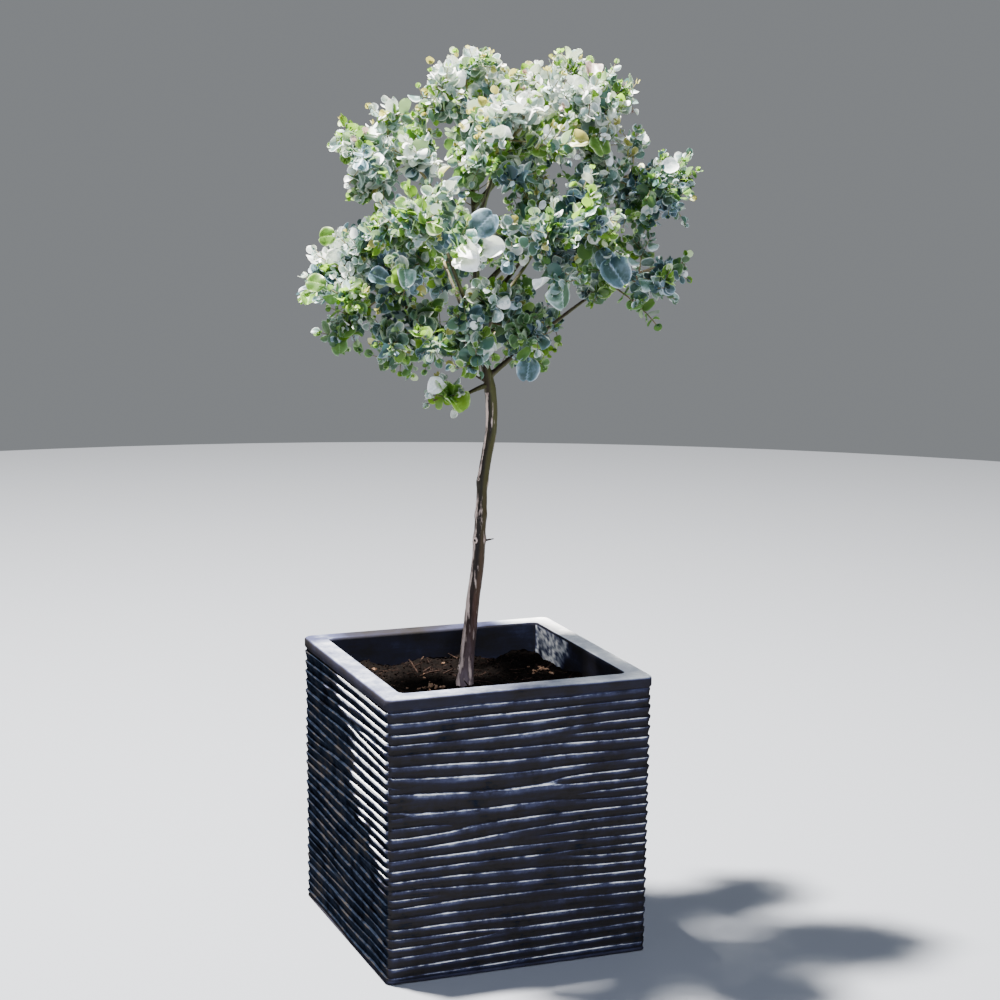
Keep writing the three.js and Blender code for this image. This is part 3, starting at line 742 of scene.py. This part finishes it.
foliage = {
    "spread": 7.9,  # as in the source: a lobe's mean half width over its side twigs
    "extraTwigs": 0.08,  # more side twigs than the source has, for each mm of a lobe's half width
    "shortTwig": 12,  # a side twig shorter than this isn't grown, mm
    "shootSpacing": 7.0,
    "shootLength": (14, 38),
    "shortShoot": 8,  # nor is a shoot shorter than this
    "shootAngle": 0.95,
    "missing": 0.14,  # share of the shoots that never grew, and in the sparser lobes
    "sparse": {"low_shoot": 0.72, "right": 0.42, "back_right": 0.28},
    "overlap": 11,  # how far neighbouring lobes' shoots grow in among each other, mm
    "ragged": 13,  # how unevenly the shoots reach the lobe's edge, mm
    "leggy": (0.24, 13),  # share of the shoots that grow past the edge, and by how much, mm
    # height under which a lobe has no shoot, so many mm out, and its rise for each mm further out
    "lowest": {"right": (622, 134, 0.8), "back_right": (630, 134, 0.6)},
    "leafLength": 13.7,
    "leafScale": {
        "low_shoot": 1.1, "right": 0.9, "upper_right": 0.84, "back_right": 0.9, "front_right": 0.93,
    },
    "pairSpacing": 0.48,  # between pairs of leaves, over their length
    "bareFoot": 3.5,  # a shoot's length before its first leaves, mm
    "budLength": 0.36,  # over a leaf's
    "stray": 6.5,  # how far a leaf may reach past its lobe, mm
    # short shoots on the leader itself, in the gap between the lobes: height, turn, length, tint
    "leaderShoots": [
        (733, -70, 19, "shadeGreen"), (742, -150, 20, "deepBlue"), (751, -100, 22, "shadeGreen"),
        (756, -25, 19, "freshGreen"), (764, -120, 20, "shadeGreen"),
    ],
    "leaderLeaves": (6, 17, 90),  # their bare foot, leaf length and stray, mm
    "largeFrom": 17.5,  # a longer leaf has a large leaf's shape
    # single large leaves: across, up, length in mm, and tint
    "large": [
        (2, 698, 31, "silver"), (17, 712, 24, "silver"), (-9, 716, 22, "silver"), (139, 676, 30, "deepBlue"),
        (88, 668, 27, "glaucous"), (108, 667, 23, "silver"), (122, 700, 22, "deepBlue"),
        (14, 732, 27, "deepBlue"), (60, 672, 18, "silver"), (55, 590, 23, "deepBlue"),
        (-24, 552, 29, "freshGreen"), (-30, 574, 19, "silver"), (112, 880, 19, "youngPink"),
        (120, 817, 22, "freshGreen"), (96, 805, 18, "youngYellow"), (-42, 801, 14, "youngYellow"),
        (188, 785, 17, "silver"), (104, 746, 19, "glaucous"), (-138, 804, 16, "glaucous"),
        (-158, 709, 19, "freshGreen"), (-162, 671, 19, "freshGreen"), (-165, 641, 20, "freshGreen"),
        (-60, 690, 19, "glaucous"), (-98, 678, 20, "deepBlue"),
    ],
}

boughTubes = []  # a mass's name, and its bough's path
twigTubes = []  # path, first and last radius, sides
leaves = []  # root, unit vectors along, across and out of the face, length, tint


def leafFrame(direction, out, lean, roll):
    along = out * math.cos(lean) + direction * math.sin(lean)
    wide = np.cross(direction, out)
    wide /= np.linalg.norm(wide)
    face = np.cross(wide, along)
    wide, face = wide * math.cos(roll) + face * math.sin(roll), face * math.cos(roll) - wide * math.sin(roll)
    return along, wide, face


def leafPairs(path, index, random, start, base, tints, stray):
    length = path["length"]
    tint, young = tints
    count = max(1, int((length - start) / (foliage["pairSpacing"] * base)))
    for n in range(count + 1):
        share = min(0.985, (start + (length - start) * n / count) / length)
        root, direction = pointOn(path, share), directionOn(path, share)
        age = n / count
        size = base * (1.04 - 0.5 * age**1.7)
        turn = (n % 2) * math.pi / 2 + random.normal(0, 0.3)
        for half in (0, math.pi):
            out = around(direction, turn + half + random.normal(0, 0.16))
            lean = 0.35 + 0.75 * age**2 + random.normal(0, 0.3)
            along, wide, face = leafFrame(direction, out, lean, random.normal(0, 0.5))
            grown = size * (0.72 + 0.66 * random.random() ** 2)
            tip = root + along * grown
            if roomAt(tip, index) < -stray or roomAt(root + along * grown / 2, index) < -stray / 2:
                continue
            colour = young if age > 0.8 and random.random() < 0.6 else tint
            leaves.append((root + out * 0.4, along, wide, face, grown, colour))
    # the bud at the shoot's tip: two small leaves still half folded together
    root, direction = pointOn(path, 0.99), directionOn(path, 0.99)
    bud = foliage["budLength"]
    for half in (0, math.pi):
        out = around(direction, half + random.uniform(0, 1))
        along, wide, face = leafFrame(direction, out, 1.15 + random.normal(0, 0.1), 0)
        if roomAt(root + along * bud * base, index) > -stray:
            leaves.append((root, along, wide, face, bud * base, young))


# The colour of a spray by its place, as painted light and shade: silver above and to the left and
# at the top right, where light falls, deep blue or dark green below and to the right as painted
# shade, more fresh green low on the left as a painted glow of light from behind, and pink or yellow
# young growth near the top
def sprayTints(point, random):
    x, _, z = point
    if z < 572:
        return "freshGreen", "silver"
    # painted light: paler higher up, to the left and at the top right; darker low down and to the right
    light = 0.5 - (x + 20) / 520 + (z - 700) / 420 + random.normal(0, 0.42)
    light += 0.55 * (z > 790 and x > 30) - 0.12 * (x < -50)
    fresh = 0.14 + 0.1 * (x < -60 and z < 720) + 0.06 * (z > 820)
    if random.random() < fresh:
        tint = "freshGreen"
    elif light > 0.84:
        tint = "silver"
    elif light > 0.3:
        tint = "glaucous"
    else:
        tint = "deepBlue" if random.random() < 0.62 else "shadeGreen"
    draw = random.random()
    if z > 800 and draw < 0.34:
        young = "youngPink" if draw < 0.09 else "youngYellow"
    else:
        young = "youngYellow" if draw > 0.9 else ("freshGreen" if draw > 0.55 else tint)
    return tint, young


def growShoots(path, index, random, k):
    f = foliage
    length = path["length"]
    lobe = lobeNames[index]
    size = f["leafLength"] * f["leafScale"].get(lobe, 1)
    missing = f["sparse"].get(lobe, f["missing"])
    low, high = f["shootLength"]
    lowest, outset, slope = f["lowest"].get(lobe, (0, 0, 0))
    for n, place in enumerate(np.arange(0.28 * length, length - 3, f["shootSpacing"])):
        share = place / length
        root, direction = pointOn(path, share), directionOn(path, share)
        for half in (0, math.pi):
            if random.random() < missing:
                continue
            out = around(direction, k + (n % 2) * math.pi / 2 + half + random.normal(0, 0.35))
            bend = f["shootAngle"] + random.normal(0, 0.15)
            heading = direction * math.cos(bend) + out * math.sin(bend)
            reach = low + (high - low) * random.random() * (1.1 - 0.5 * share)
            tip = root + heading * reach + (0, 0, 0.1 * reach)
            leggy = f["leggy"][1] if random.random() < f["leggy"][0] else 0
            room = -leggy if leggy else f["ragged"] * random.random() ** 2 - 2
            tip = drawnIn(root, tip, index, room, 6, 0.18)
            shootLength = np.linalg.norm(tip - root)
            if shootLength < f["shortShoot"] or tip[2] < lowest + slope * (tip[0] - outset):
                continue
            shoot = arch(root, (root + tip) / 2 + direction * 0.12 * shootLength, tip)
            twigTubes.append((shoot, limbs["shootRadii"], 4))
            tints = sprayTints(tip, random)
            base = size * random.uniform(0.8, 1.12)
            leafPairs(shoot, index, random, f["bareFoot"], base, tints, f["stray"] + leggy)
    tints = sprayTints(path["points"][-1], random)
    base = size * random.uniform(0.95, 1.15)
    leafPairs(path, index, random, 0.3 * length, base, tints, f["stray"])


def growMass(index, name, height, lift):  # one mass's bough, stem and side twigs, with all they carry
    if height is None:
        bough = leaderPath
    else:
        bough = boughPath(centres[index], sizes[index], pointAtHeight(leaderPath, height), lift)
        boughTubes.append((name, bough))
    stem = stemPath(bough, centres[index], sizes[index])
    twigTubes.append((stem, limbs["stemRadii"], 7))
    count = round(reaches[index] / foliage["spread"])
    more = round(foliage["extraTwigs"] * (reaches[index] - 15))
    twigs = [(k, 1000 * (index + 1) + k) for k in range(count)]
    twigs += [(count * (k + 0.4) / more, 500 * (index + 1) + k) for k in range(more)]
    for k, (place, seed) in enumerate(twigs):
        path = sideTwigPath(index, stem, place, count, seededRandom(seed))
        if path["length"] < foliage["shortTwig"]:
            continue
        twigTubes.append((path, limbs["twigRadii"], 5))
        growShoots(path, index, np.random.default_rng(100 * index + k), k)


def growLeaderShoots():
    start, base, stray = foliage["leaderLeaves"]
    for k, (height, turn, length, tint) in enumerate(foliage["leaderShoots"]):
        angle = math.radians(turn)
        root = pointAtHeight(leaderPath, height)
        tip = root + length * np.array([math.cos(angle), math.sin(angle), 0.6])
        shoot = arch(root, (root + tip) / 2 - (0, 0, 2), tip)
        twigTubes.append((shoot, limbs["shootRadii"], 4))
        random = np.random.default_rng(k)
        leafPairs(shoot, lobeNames.index("front_top"), random, start, base, (tint, tint), stray)


# A large leaf takes the place of the foremost ordinary one near its own place, turned to the front,
# and to the light as well unless it is one of the deep blue ones
def growLargeLeaf(x, z, length, tint):
    middles = np.array([leaf[0] + 0.5 * length * leaf[1] for leaf in leaves])
    apart = np.abs(middles[:, 0] - x) + np.abs(middles[:, 2] - z) + 0.25 * middles[:, 1]
    chosen = int(np.argmin(apart))
    root, along, _, face = leaves[chosen][:4]
    front = (-0.1, -0.9, 0.15) if tint == "deepBlue" else (-0.3, -0.75, 0.65)
    facing = np.array(front) + 0.55 * face
    along = along - facing * (along @ facing) / (facing @ facing)
    along /= np.linalg.norm(along)
    face = facing - along * (facing @ along)
    face /= np.linalg.norm(face)
    leaves[chosen] = (root, along, np.cross(along, face), face, length, tint)


for index, (name, (_, _, height, lift)) in enumerate(lobes.items()):
    growMass(index, name, height, lift)
growLeaderShoots()
for largeLeaf in foliage["large"]:
    growLargeLeaf(*largeLeaf)
print("crown:", len(twigTubes), "twigs,", len(leaves), "leaves")


def taper(radii, share):
    first, last = radii
    return first + (last - first) * share


def tubePoints(path, radii, sides):
    steps = max(3, min(9, int(path["length"] / 6)))
    shares = np.linspace(0, 1, steps + 1)
    line = pointOn(path, shares)
    side, lift = across((line[-1] - line[0]) / np.linalg.norm(line[-1] - line[0]))
    angles = np.arange(sides) * 2 * math.pi / sides
    ring = np.outer(np.cos(angles), side) + np.outer(np.sin(angles), lift)
    radius = taper(radii, shares)
    points = (line[:, None, :] + radius[:, None, None] * ring[None]).reshape(-1, 3)
    faces = []
    for k in range(steps):
        for i in range(sides):
            j = (i + 1) % sides
            faces.append((k * sides + i, k * sides + j, (k + 1) * sides + j, (k + 1) * sides + i))
    faces.append(tuple(range(sides - 1, -1, -1)))
    faces.append(tuple(range(steps * sides, (steps + 1) * sides)))
    return points, faces


def joinTubes(name, tubes):
    points, faces = joined([tubePoints(*tube) for tube in tubes])
    piece = pieceFromArrays(name, toWorld(points), faces)
    faceOutwards(piece)
    giveLayer(piece, "flush", softNoise(points / 25, 4.2))
    shadeSmooth(piece)
    return piece


# Trunk, leader and boughs: many-sided tubes, fused by a fine remesh so that each bough swells out
# of the leader, then given the bark's relief

bark = {
    "sides": 20,
    "steps": {"trunk": 100, "stub": 12, "leader": 70, "bough": 36},
    "voxel": 0.62,
    "relief": 0.22,
    "crownRelief": 0.7 * 0.22,
    "stops": [
        (0, "#6a5b5f"), (0.12, "#4f382f"), (0.3, "#3a311b"), (0.4, "#3c391b"), (0.56, "#464626"),
        (0.75, "#484b2b"), (1, "#6f794e"),
    ],
}


def limbTube(kind, path, radiusAt):
    bpy.ops.mesh.primitive_cylinder_add(vertices=bark["sides"], radius=1, depth=1, location=(0, 0, 0))
    tube = bpy.context.active_object
    cutUpright(tube, bark["steps"][kind] - 1)
    points = coords(tube.data)
    shares = np.clip(points[:, 2] + 0.5, 0, 1)
    radius = np.array([radiusAt(s) for s in shares])
    # rings turn with the path, so that a steep limb isn't flattened
    frames = {s: across(directionOn(path, s)) for s in np.unique(shares.round(6))}
    sides, lifts = np.array([frames[s] for s in shares.round(6)]).transpose(1, 0, 2)
    shaped = pointOn(path, shares) + (sides * points[:, :1] + lifts * points[:, 1:2]) * radius[:, None]
    setCoords(tube.data, shaped)
    faceOutwards(tube)
    return tube


def trunkRadius(share):
    z = pointOn(trunkPath, share)[2]
    out, tall = limbs["scarSwell"]
    swell = sum(math.exp(-(((z - scar) / tall) ** 2)) for scar in limbs["scars"])
    shares, radii = zip(*limbs["girth"])
    return float(np.interp(share, shares, radii)) + out * swell


def swollenRadius(kind):  # the radius rule of a limb that swells where it leaves another
    out, fade = limbs[kind + "Swell"]
    return lambda share: taper(limbs[kind + "Radii"], share) + out * math.exp(-share / fade)


def fuseLimbs(name, tubes):
    selectOnly(*tubes)
    bpy.ops.object.join()
    fused = bpy.context.active_object
    fused.name = name
    remesh = fused.modifiers.new("fuse", "REMESH")
    remesh.mode = "VOXEL"
    remesh.voxel_size = bark["voxel"]
    bpy.ops.object.modifier_apply(modifier=remesh.name)
    soften = fused.modifiers.new("soften", "SMOOTH")
    soften.factor = 0.5
    soften.iterations = 3
    bpy.ops.object.modifier_apply(modifier=soften.name)
    return fused


# Fine lengthwise ripples, small swellings and pores, and a raised ring round each knot
def giveRelief(piece, depth, knots=()):
    points = coords(piece.data)
    normals = np.zeros(len(points) * 3)
    piece.data.vertices.foreach_get("normal", normals)
    normals = normals.reshape(-1, 3)
    ripple = softNoise(points * (0.55, 0.55, 0.1), 3.7)
    swell = softNoise(points * 0.16, 9.1)
    pores = np.clip(softNoise(points * (0.5, 0.5, 0.9), 12.4) - 0.25, 0, 1)
    push = depth * (ripple + 0.9 * swell + 1.6 * pores)
    # painted shade: dark but for its right side, less so low down; a painted highlight down its left
    # side; and bared round each knot
    turned = normals + 0.25 * softNoise(points * (0.12, 0.12, 0.03), 6.2)[:, None]
    high = smoothStep(268, 350, points[:, 2])
    flush = (1 - smoothStep(0.0, 0.75, turned @ (0.97, -0.22, 0)) * high) * (0.3 + 0.7 * high)
    scar = 0.6 * smoothStep(0.72, 0.94, normals @ (-0.93, -0.36, 0))
    for place, radius in knots:
        apart = np.linalg.norm(points - place, axis=1) / radius
        push += 0.32 * radius * np.exp(-(((apart - 0.8) / 0.35) ** 2))
        scar += np.exp(-(((apart - 0.85) / 0.3) ** 2)) - 1.2 * np.exp(-((apart / 0.42) ** 2))
    setCoords(piece.data, toWorld(points + normals * push[:, None]))
    giveLayer(piece, "flush", flush)
    giveLayer(piece, "scar", scar)
    shadeSmooth(piece)


# Young eucalyptus bark: smooth and mauve-grey where it has peeled low down, olive green above, all in
# long streaks. Its dark brown flush is painted shade on trunk and leader and falls at random on
# twigs; its pale peel, more down the left side, is partly a painted highlight
def barkMaterial(name, stops, flushAndShadeColour, pale):
    material, tree, shader = newMaterial(name)
    place = addNode(tree, "TexCoord", {}, "Object")
    height = addNode(tree, "SeparateXYZ", {0: place}, "Z")
    level = addNode(tree, "MapRange", {"From Min": 0.255, "From Max": 0.8, "Value": height})
    stretched = addNode(tree, "Mapping", {"Scale": (1, 1, 0.14), "Vector": place})
    long = {"Scale": 1 / (4 * mm), "Detail": 5, "Roughness": 0.62, "Vector": stretched}
    streak = addNode(tree, "TexNoise", long)
    drift = addNode(tree, "Math", {"operation": "MULTIPLY_ADD", 0: streak, 1: 0.3, 2: -0.15})
    where = addNode(tree, "Math", {"operation": "ADD", 0: level, 1: drift})
    base = addNode(tree, "ValToRGB", {"stops": stops, "Fac": where})
    flush = addNode(tree, "Attribute", {"attribute_name": "flush"}, "Fac")
    streaked = addNode(tree, "Math", {"operation": "MULTIPLY_ADD", 0: streak, 1: 1.3, 2: -0.72})
    share = addNode(tree, "Math", {"operation": "ADD", "use_clamp": True, 0: flush, 1: streaked})
    tinted = addNode(tree, "Mix", {"data_type": "RGBA", 0: share, 6: base, 7: flushAndShadeColour}, 2)
    scar = addNode(tree, "Attribute", {"attribute_name": "scar"}, "Fac")
    low = addNode(tree, "MapRange", {"From Max": 0.3, "To Min": 0.07, "To Max": 0.0, "Value": level})
    bared = addNode(tree, "Math", {"operation": "ADD", 0: low, 1: streak})
    peeled = addNode(tree, "Math", {"operation": "MULTIPLY_ADD", 0: scar, 1: 0.3, 2: bared})
    peel = addNode(tree, "ValToRGB", {"stops": [(0.6, 0.0), (0.72, 1.0)], "Fac": peeled})
    mixed = addNode(tree, "Mix", {"data_type": "RGBA", 0: peel, 6: tinted, 7: pale}, 2)
    fine = addNode(tree, "TexNoise", {"Scale": 1 / (1.2 * mm), "Detail": 3, "Vector": stretched})
    relief = addNode(tree, "Bump", {"Strength": 0.45, "Distance": 0.3 * mm, "Height": fine})
    setNode(tree, shader, {"Base Color": mixed, "Normal": relief})
    setNode(tree, shader, {"Roughness": 0.55, "Specular IOR Level": 0.22})
    return material


def trunkSide(height, turn):  # a point on the trunk's surface and the way it faces
    out = np.array([math.cos(math.radians(turn)), math.sin(math.radians(turn)), 0])
    return pointAtHeight(trunkPath, height) + out * trunkRadius(shareAtHeight(trunkPath, height)), out


def makeTrunk():
    tube = limbTube("trunk", trunkPath, trunkRadius)
    points = coords(tube.data)
    below, sunk = limbs["trunkSunk"]
    foot = points[:, 2] < below
    points[foot, 2] = np.minimum(points[foot, 2], sunk)
    setCoords(tube.data, points)
    height, turn, length = limbs["stub"]
    root, out = trunkSide(height, turn)
    stubPath = densePath(np.linspace(root - 3 * out, root + length * (out + (0, 0, 0.35)), 9))
    stub = limbTube("stub", stubPath, lambda share: taper(limbs["stubRadii"], share))
    piece = fuseLimbs("trunkBark", [tube, stub])
    knots = [(trunkSide(height, turn)[0], radius) for height, turn, radius in limbs["knots"]]
    giveRelief(piece, bark["relief"], knots)
    return piece


def makeLeader():
    tubes = [limbTube("leader", leaderPath, swollenRadius("leader"))]
    points = coords(tubes[0].data)
    below, sunk = limbs["leaderSunk"]
    points[points[:, 2] < below, 2] -= sunk
    setCoords(tubes[0].data, points)
    tubes += [limbTube("bough", path, swollenRadius("bough")) for _, path in boughTubes]
    piece = fuseLimbs("leaderBark", tubes)
    giveRelief(piece, bark["crownRelief"])
    return piece


# the trunk's near-black flush colour is painted shade
trunkBark = barkMaterial("smoothYoungBark", bark["stops"], "#120c0b", "#c9b3a8")
settle(makeTrunk(), trunkBark, ["trunk"])
greenBark = barkMaterial("greenBark", bark["stops"], "#2c221a", "#64644a")
settle(makeLeader(), greenBark, ["leader"] + ["bough_" + name for name, _ in boughTubes])


# The compost's pieces, now that the trunk's place is known

random = np.random.default_rng(31)
# the bed's and crumbs' near-black colours are partly the damp compost's own and partly painted shade under
# the rim
peat = compostMaterial("dampCompost", "#020101", "#060403", "#140d0a")
settle(makeCompost(compost), peat, ["compost"])

crumbShapes = [crumbShape(3.0 * k + 1) for k in range(4)]
splinters = [splinterShape(2.0 * k + 5, bend) for k, bend in enumerate((0.0, 0.25, -0.3, 0.5))]
for kind, name, shapes, finish in (
    ("crumbs", "compostCrumbs", crumbShapes, ("compostCrumb", "#030202", "#0a0605", "#20150f")),
    ("chips", "barkChips", splinters, ("paleBarkChip", "#4a3628", "#7c604c", "#b0947c")),
    ("fibres", "compostFibres", splinters, ("dryFibre", "#0f0b0a", "#241a16", "#4c3c33")),
):
    piece = pieceFromArrays(name, *strewn(compost, kind, shapes, random))
    settle(piece, compostMaterial(*finish))


# Twigs and leaves

twigBark = barkMaterial("twigBark", [(0.5, "#6b5a45"), (1, "#86805a")], "#6a4a3c", "#a59a78")
settle(joinTubes("twigs", twigTubes), twigBark)


# A round leaf of a few faces: a grid pressed into the leaf's outline, folded along its midrib,
# cupped and waved. Its foot is at the origin, it runs along Y and its face looks up.
def leafShape(width, cup, fold, curl, wave, notch, cells):
    bpy.ops.mesh.primitive_grid_add(x_subdivisions=cells[0], y_subdivisions=cells[1], size=1)
    blade = bpy.context.active_object
    points = coords(blade.data)
    s = points[:, 0] * 2
    angle = math.pi * (0.045 + 0.905 * (points[:, 1] + 0.5))
    half = 0.5 * width * np.sin(angle) ** 0.86
    x = s * half
    y = 0.5 * (1 - np.cos(angle))
    y = y - notch * (1 - np.abs(s)) * smoothStep(0.8, 1.0, y)
    z = cup * x * x * 4 + fold * np.abs(x) - curl * y * y + wave * s * s * np.sin(9 * y + 2 * s) * 0.5
    shape = takeShape(blade, np.stack([x, y, z - z[np.argmin(y)]], 1))
    shape["margin"] = np.maximum(np.abs(s), np.abs(2 * angle / math.pi - 1))
    if cells[0] > 4:  # a midrib and side veins only show on a large leaf
        veins = np.exp(-(((y - 0.5 * np.abs(x)) * 7 % 1 - 0.5) ** 2) / 0.02)
        ribs = 0.7 * np.exp(-((s / 0.1) ** 2)) + 0.25 * veins * (np.abs(s) < 0.9)
        shape["margin"] = np.maximum(shape["margin"], np.clip(0.68 + 0.3 * ribs, 0, 1) * (ribs > 0.05))
    return shape


# Each form is its width, cup, fold, curl, wave and notch, for a leaf of length 1
leafForms = {
    "cells": (4, 6),
    "small": [
        (0.98, 0.10, 0.10, 0.06, 0.03, 0.05), (0.94, 0.22, 0.16, 0.14, 0.05, 0.02),
        (1.05, 0.04, 0.06, -0.06, 0.06, 0.07), (0.90, 0.16, 0.24, 0.20, 0.02, 0.0),
        (1.00, -0.10, 0.12, 0.10, 0.08, 0.06), (0.86, 0.30, 0.30, 0.06, 0.04, 0.0),
    ],
    "largeCells": (12, 20),
    "large": [
        (0.96, 0.24, 0.24, 0.22, 0.14, 0.05), (0.86, 0.34, 0.30, -0.14, 0.16, 0.0),
        (1.02, -0.14, 0.26, 0.26, 0.13, 0.08),
    ],
    "perPiece": 3400,  # leaves, so that a piece stays under 200,000 triangles
}
leafShapes = [leafShape(*form, leafForms["cells"]) for form in leafForms["small"]]
largeShapes = [leafShape(*form, leafForms["largeCells"]) for form in leafForms["large"]]


# The waxy leaf: a matt skin under a pale bloom that thickens towards the margin, whose near-white
# edge is partly the pale margin and partly a painted highlight, and thin enough to glow yellow-green
# against the light
def leafMaterial(name, skin, bloom, edge, glow, share):
    material, tree, shader = newMaterial(name)
    place = addNode(tree, "TexCoord", {}, "Object")
    margin = addNode(tree, "Attribute", {"attribute_name": "margin"}, "Fac")
    tone = addNode(tree, "Attribute", {"attribute_name": "tone"}, "Fac")
    patchy = {"Scale": 1 / (8 * mm), "Detail": 3, "Roughness": 0.6, "Vector": place}
    cloudy = addNode(tree, "TexNoise", patchy)
    # the near-white at the edge is partly a painted highlight
    rim = addNode(tree, "ValToRGB", {"stops": [(0.0, 0.0), (0.7, 0.05), (1.0, 0.62)], "Fac": margin})
    toned = addNode(tree, "Math", {"operation": "ADD", 0: cloudy, 1: tone})
    waxy = addNode(tree, "Math", {"operation": "ADD", 0: toned, 1: rim})
    stops = [(0.43, skin), (0.93, bloom), (1.0, edge)]
    colour = addNode(tree, "ValToRGB", {"stops": stops, "Fac": waxy})
    setNode(tree, shader, {"Base Color": colour, "Roughness": 0.4})
    through = addNode(tree, "BsdfTranslucent", {"Color": glow})
    both = addNode(tree, "MixShader", {0: share, 1: shader.outputs[0], 2: through})
    setNode(tree, tree.nodes["Material Output"], {"Surface": both})
    return material


# Skin, bloom, margin with its painted highlight, the glow of light from behind, and its share
leafFinishes = {
    "glaucous": ("#30544f", "#a9c0c0", "#eef3f0", "#8fae6f", 0.26),
    "silver": ("#7c9492", "#f4f6f6", "#fdfdfd", "#c3cfb2", 0.22),
    "freshGreen": ("#35581f", "#8aad5c", "#d9e4bf", "#93c23a", 0.4),
    "deepBlue": ("#1f3840", "#6d8799", "#b8c9d2", "#5f8060", 0.22),
    "shadeGreen": ("#25432a", "#638865", "#b4c7a6", "#7fae4a", 0.32),
    "youngYellow": ("#7d8040", "#cfcb86", "#ecebc4", "#c6be5e", 0.34),
    "youngPink": ("#87736e", "#c8b9b7", "#e4dbd9", "#b99b88", 0.32),
}


def makeLeaves(name, chosen):
    random = np.random.default_rng(len(chosen))
    parts, margin, tone = [], [], []
    for root, along, wide, face, length, tint in chosen:
        large = length > foliage["largeFrom"]
        shapes = largeShapes if large else leafShapes
        shape = shapes[random.integers(0, len(shapes))]
        axes = np.stack([wide, along, face]) * length
        placed = toWorld(shape["points"] @ axes + root)
        if (placed < cadBox[0]).any() or (placed > cadBox[1]).any():
            continue
        parts.append((placed, shape["faces"]))
        margin.append(shape["margin"])
        # large silver leaves are paler as a painted highlight, other large ones a little darker; small ones
        # vary at random
        paleness = (0.4 if tint == "silver" else -0.05) if large else random.normal(-0.03, 0.37)
        tone.append(np.full(len(placed), paleness))
    piece = pieceFromArrays(name, *joined(parts))
    giveLayer(piece, "margin", np.concatenate(margin))
    giveLayer(piece, "tone", np.concatenate(tone))
    shadeSmooth(piece)
    return piece


leafNodes = ["foliage_" + name for name in lobes]
for name, finish in leafFinishes.items():
    chosen = [leaf for leaf in leaves if leaf[5] == name]
    material = leafMaterial(name + "Leaf", *finish)
    parts = math.ceil(len(chosen) / leafForms["perPiece"])
    for k in range(parts):
        settle(makeLeaves(name + "Leaves" + "ABC"[k], chosen[k::parts]), material, leafNodes)
        leafNodes = []  # the first piece replaces them all


# Floor, light and camera

studio = {
    "floor": "#80848b",
    "floorReach": 3.4,
    "world": "#e0e5ea",
    "worldStrength": 0.3,
    "aim": (0, 0, 0.5),
    # each lamp's place, width, power in watts and colour
    "lamps": {
        "keyLight": ((-0.62, 0.45, 3.5), 0.24, 1250, "#fffaf3"),
        "fillLight": ((-0.6, -2.6, 2.6), 0.8, 95, "#dfe8ff"),
    },
}

bpy.ops.mesh.primitive_circle_add(vertices=128, radius=studio["floorReach"], fill_type="NGON")
floor = bpy.context.active_object
floor.name = "studioFloor"
material, tree, shader = newMaterial("paleFloor")
setNode(tree, shader, {"Base Color": studio["floor"], "Roughness": 0.9})
floor.data.materials.append(material)

world = bpy.data.worlds.new("studioWorld")
bpy.context.scene.world = world
world.use_nodes = True
backdrop = {"Color": studio["world"], "Strength": studio["worldStrength"]}
setNode(world.node_tree, world.node_tree.nodes["Background"], backdrop)

for name, (place, width, power, colour) in studio["lamps"].items():
    bpy.ops.object.light_add(type="AREA", location=place)
    lamp = bpy.context.active_object
    lamp.name = name
    lamp.data.shape = "DISK"
    lamp.data.size = width
    lamp.data.energy = power
    lamp.data.color = linearRgb(colour)[:3]
    lamp.rotation_euler = (Vector(studio["aim"]) - Vector(place)).to_track_quat("-Z", "Y").to_euler()

view = {
    "azimuth": -21.46,
    "elevation": 9.96,
    "roll": 0.54,
    "place": (-0.7812, -2.0599, 0.8344),
    "focalPixels": 2210,
    "framePixels": 1000,
    "sensor": 36,
}


def setCamera(v):
    a, e, r = (math.radians(v[key]) for key in ("azimuth", "elevation", "roll"))
    forward = -Vector((math.sin(a) * math.cos(e), -math.cos(a) * math.cos(e), math.sin(e)))
    right = forward.cross(Vector((0, 0, 1))).normalized()
    up = right.cross(forward)
    level = Matrix((right, up, -forward)).transposed()
    turned = level @ Matrix.Rotation(r, 3, "Z")
    bpy.ops.object.camera_add(location=v["place"])
    camera = bpy.context.active_object
    camera.matrix_world = Matrix.Translation(v["place"]) @ turned.to_4x4()
    camera.data.sensor_width = v["sensor"]
    camera.data.lens = v["sensor"] * v["focalPixels"] / v["framePixels"]
    camera.data.clip_end = 100
    bpy.context.scene.camera = camera


setCamera(view)
print("camera and lights set")
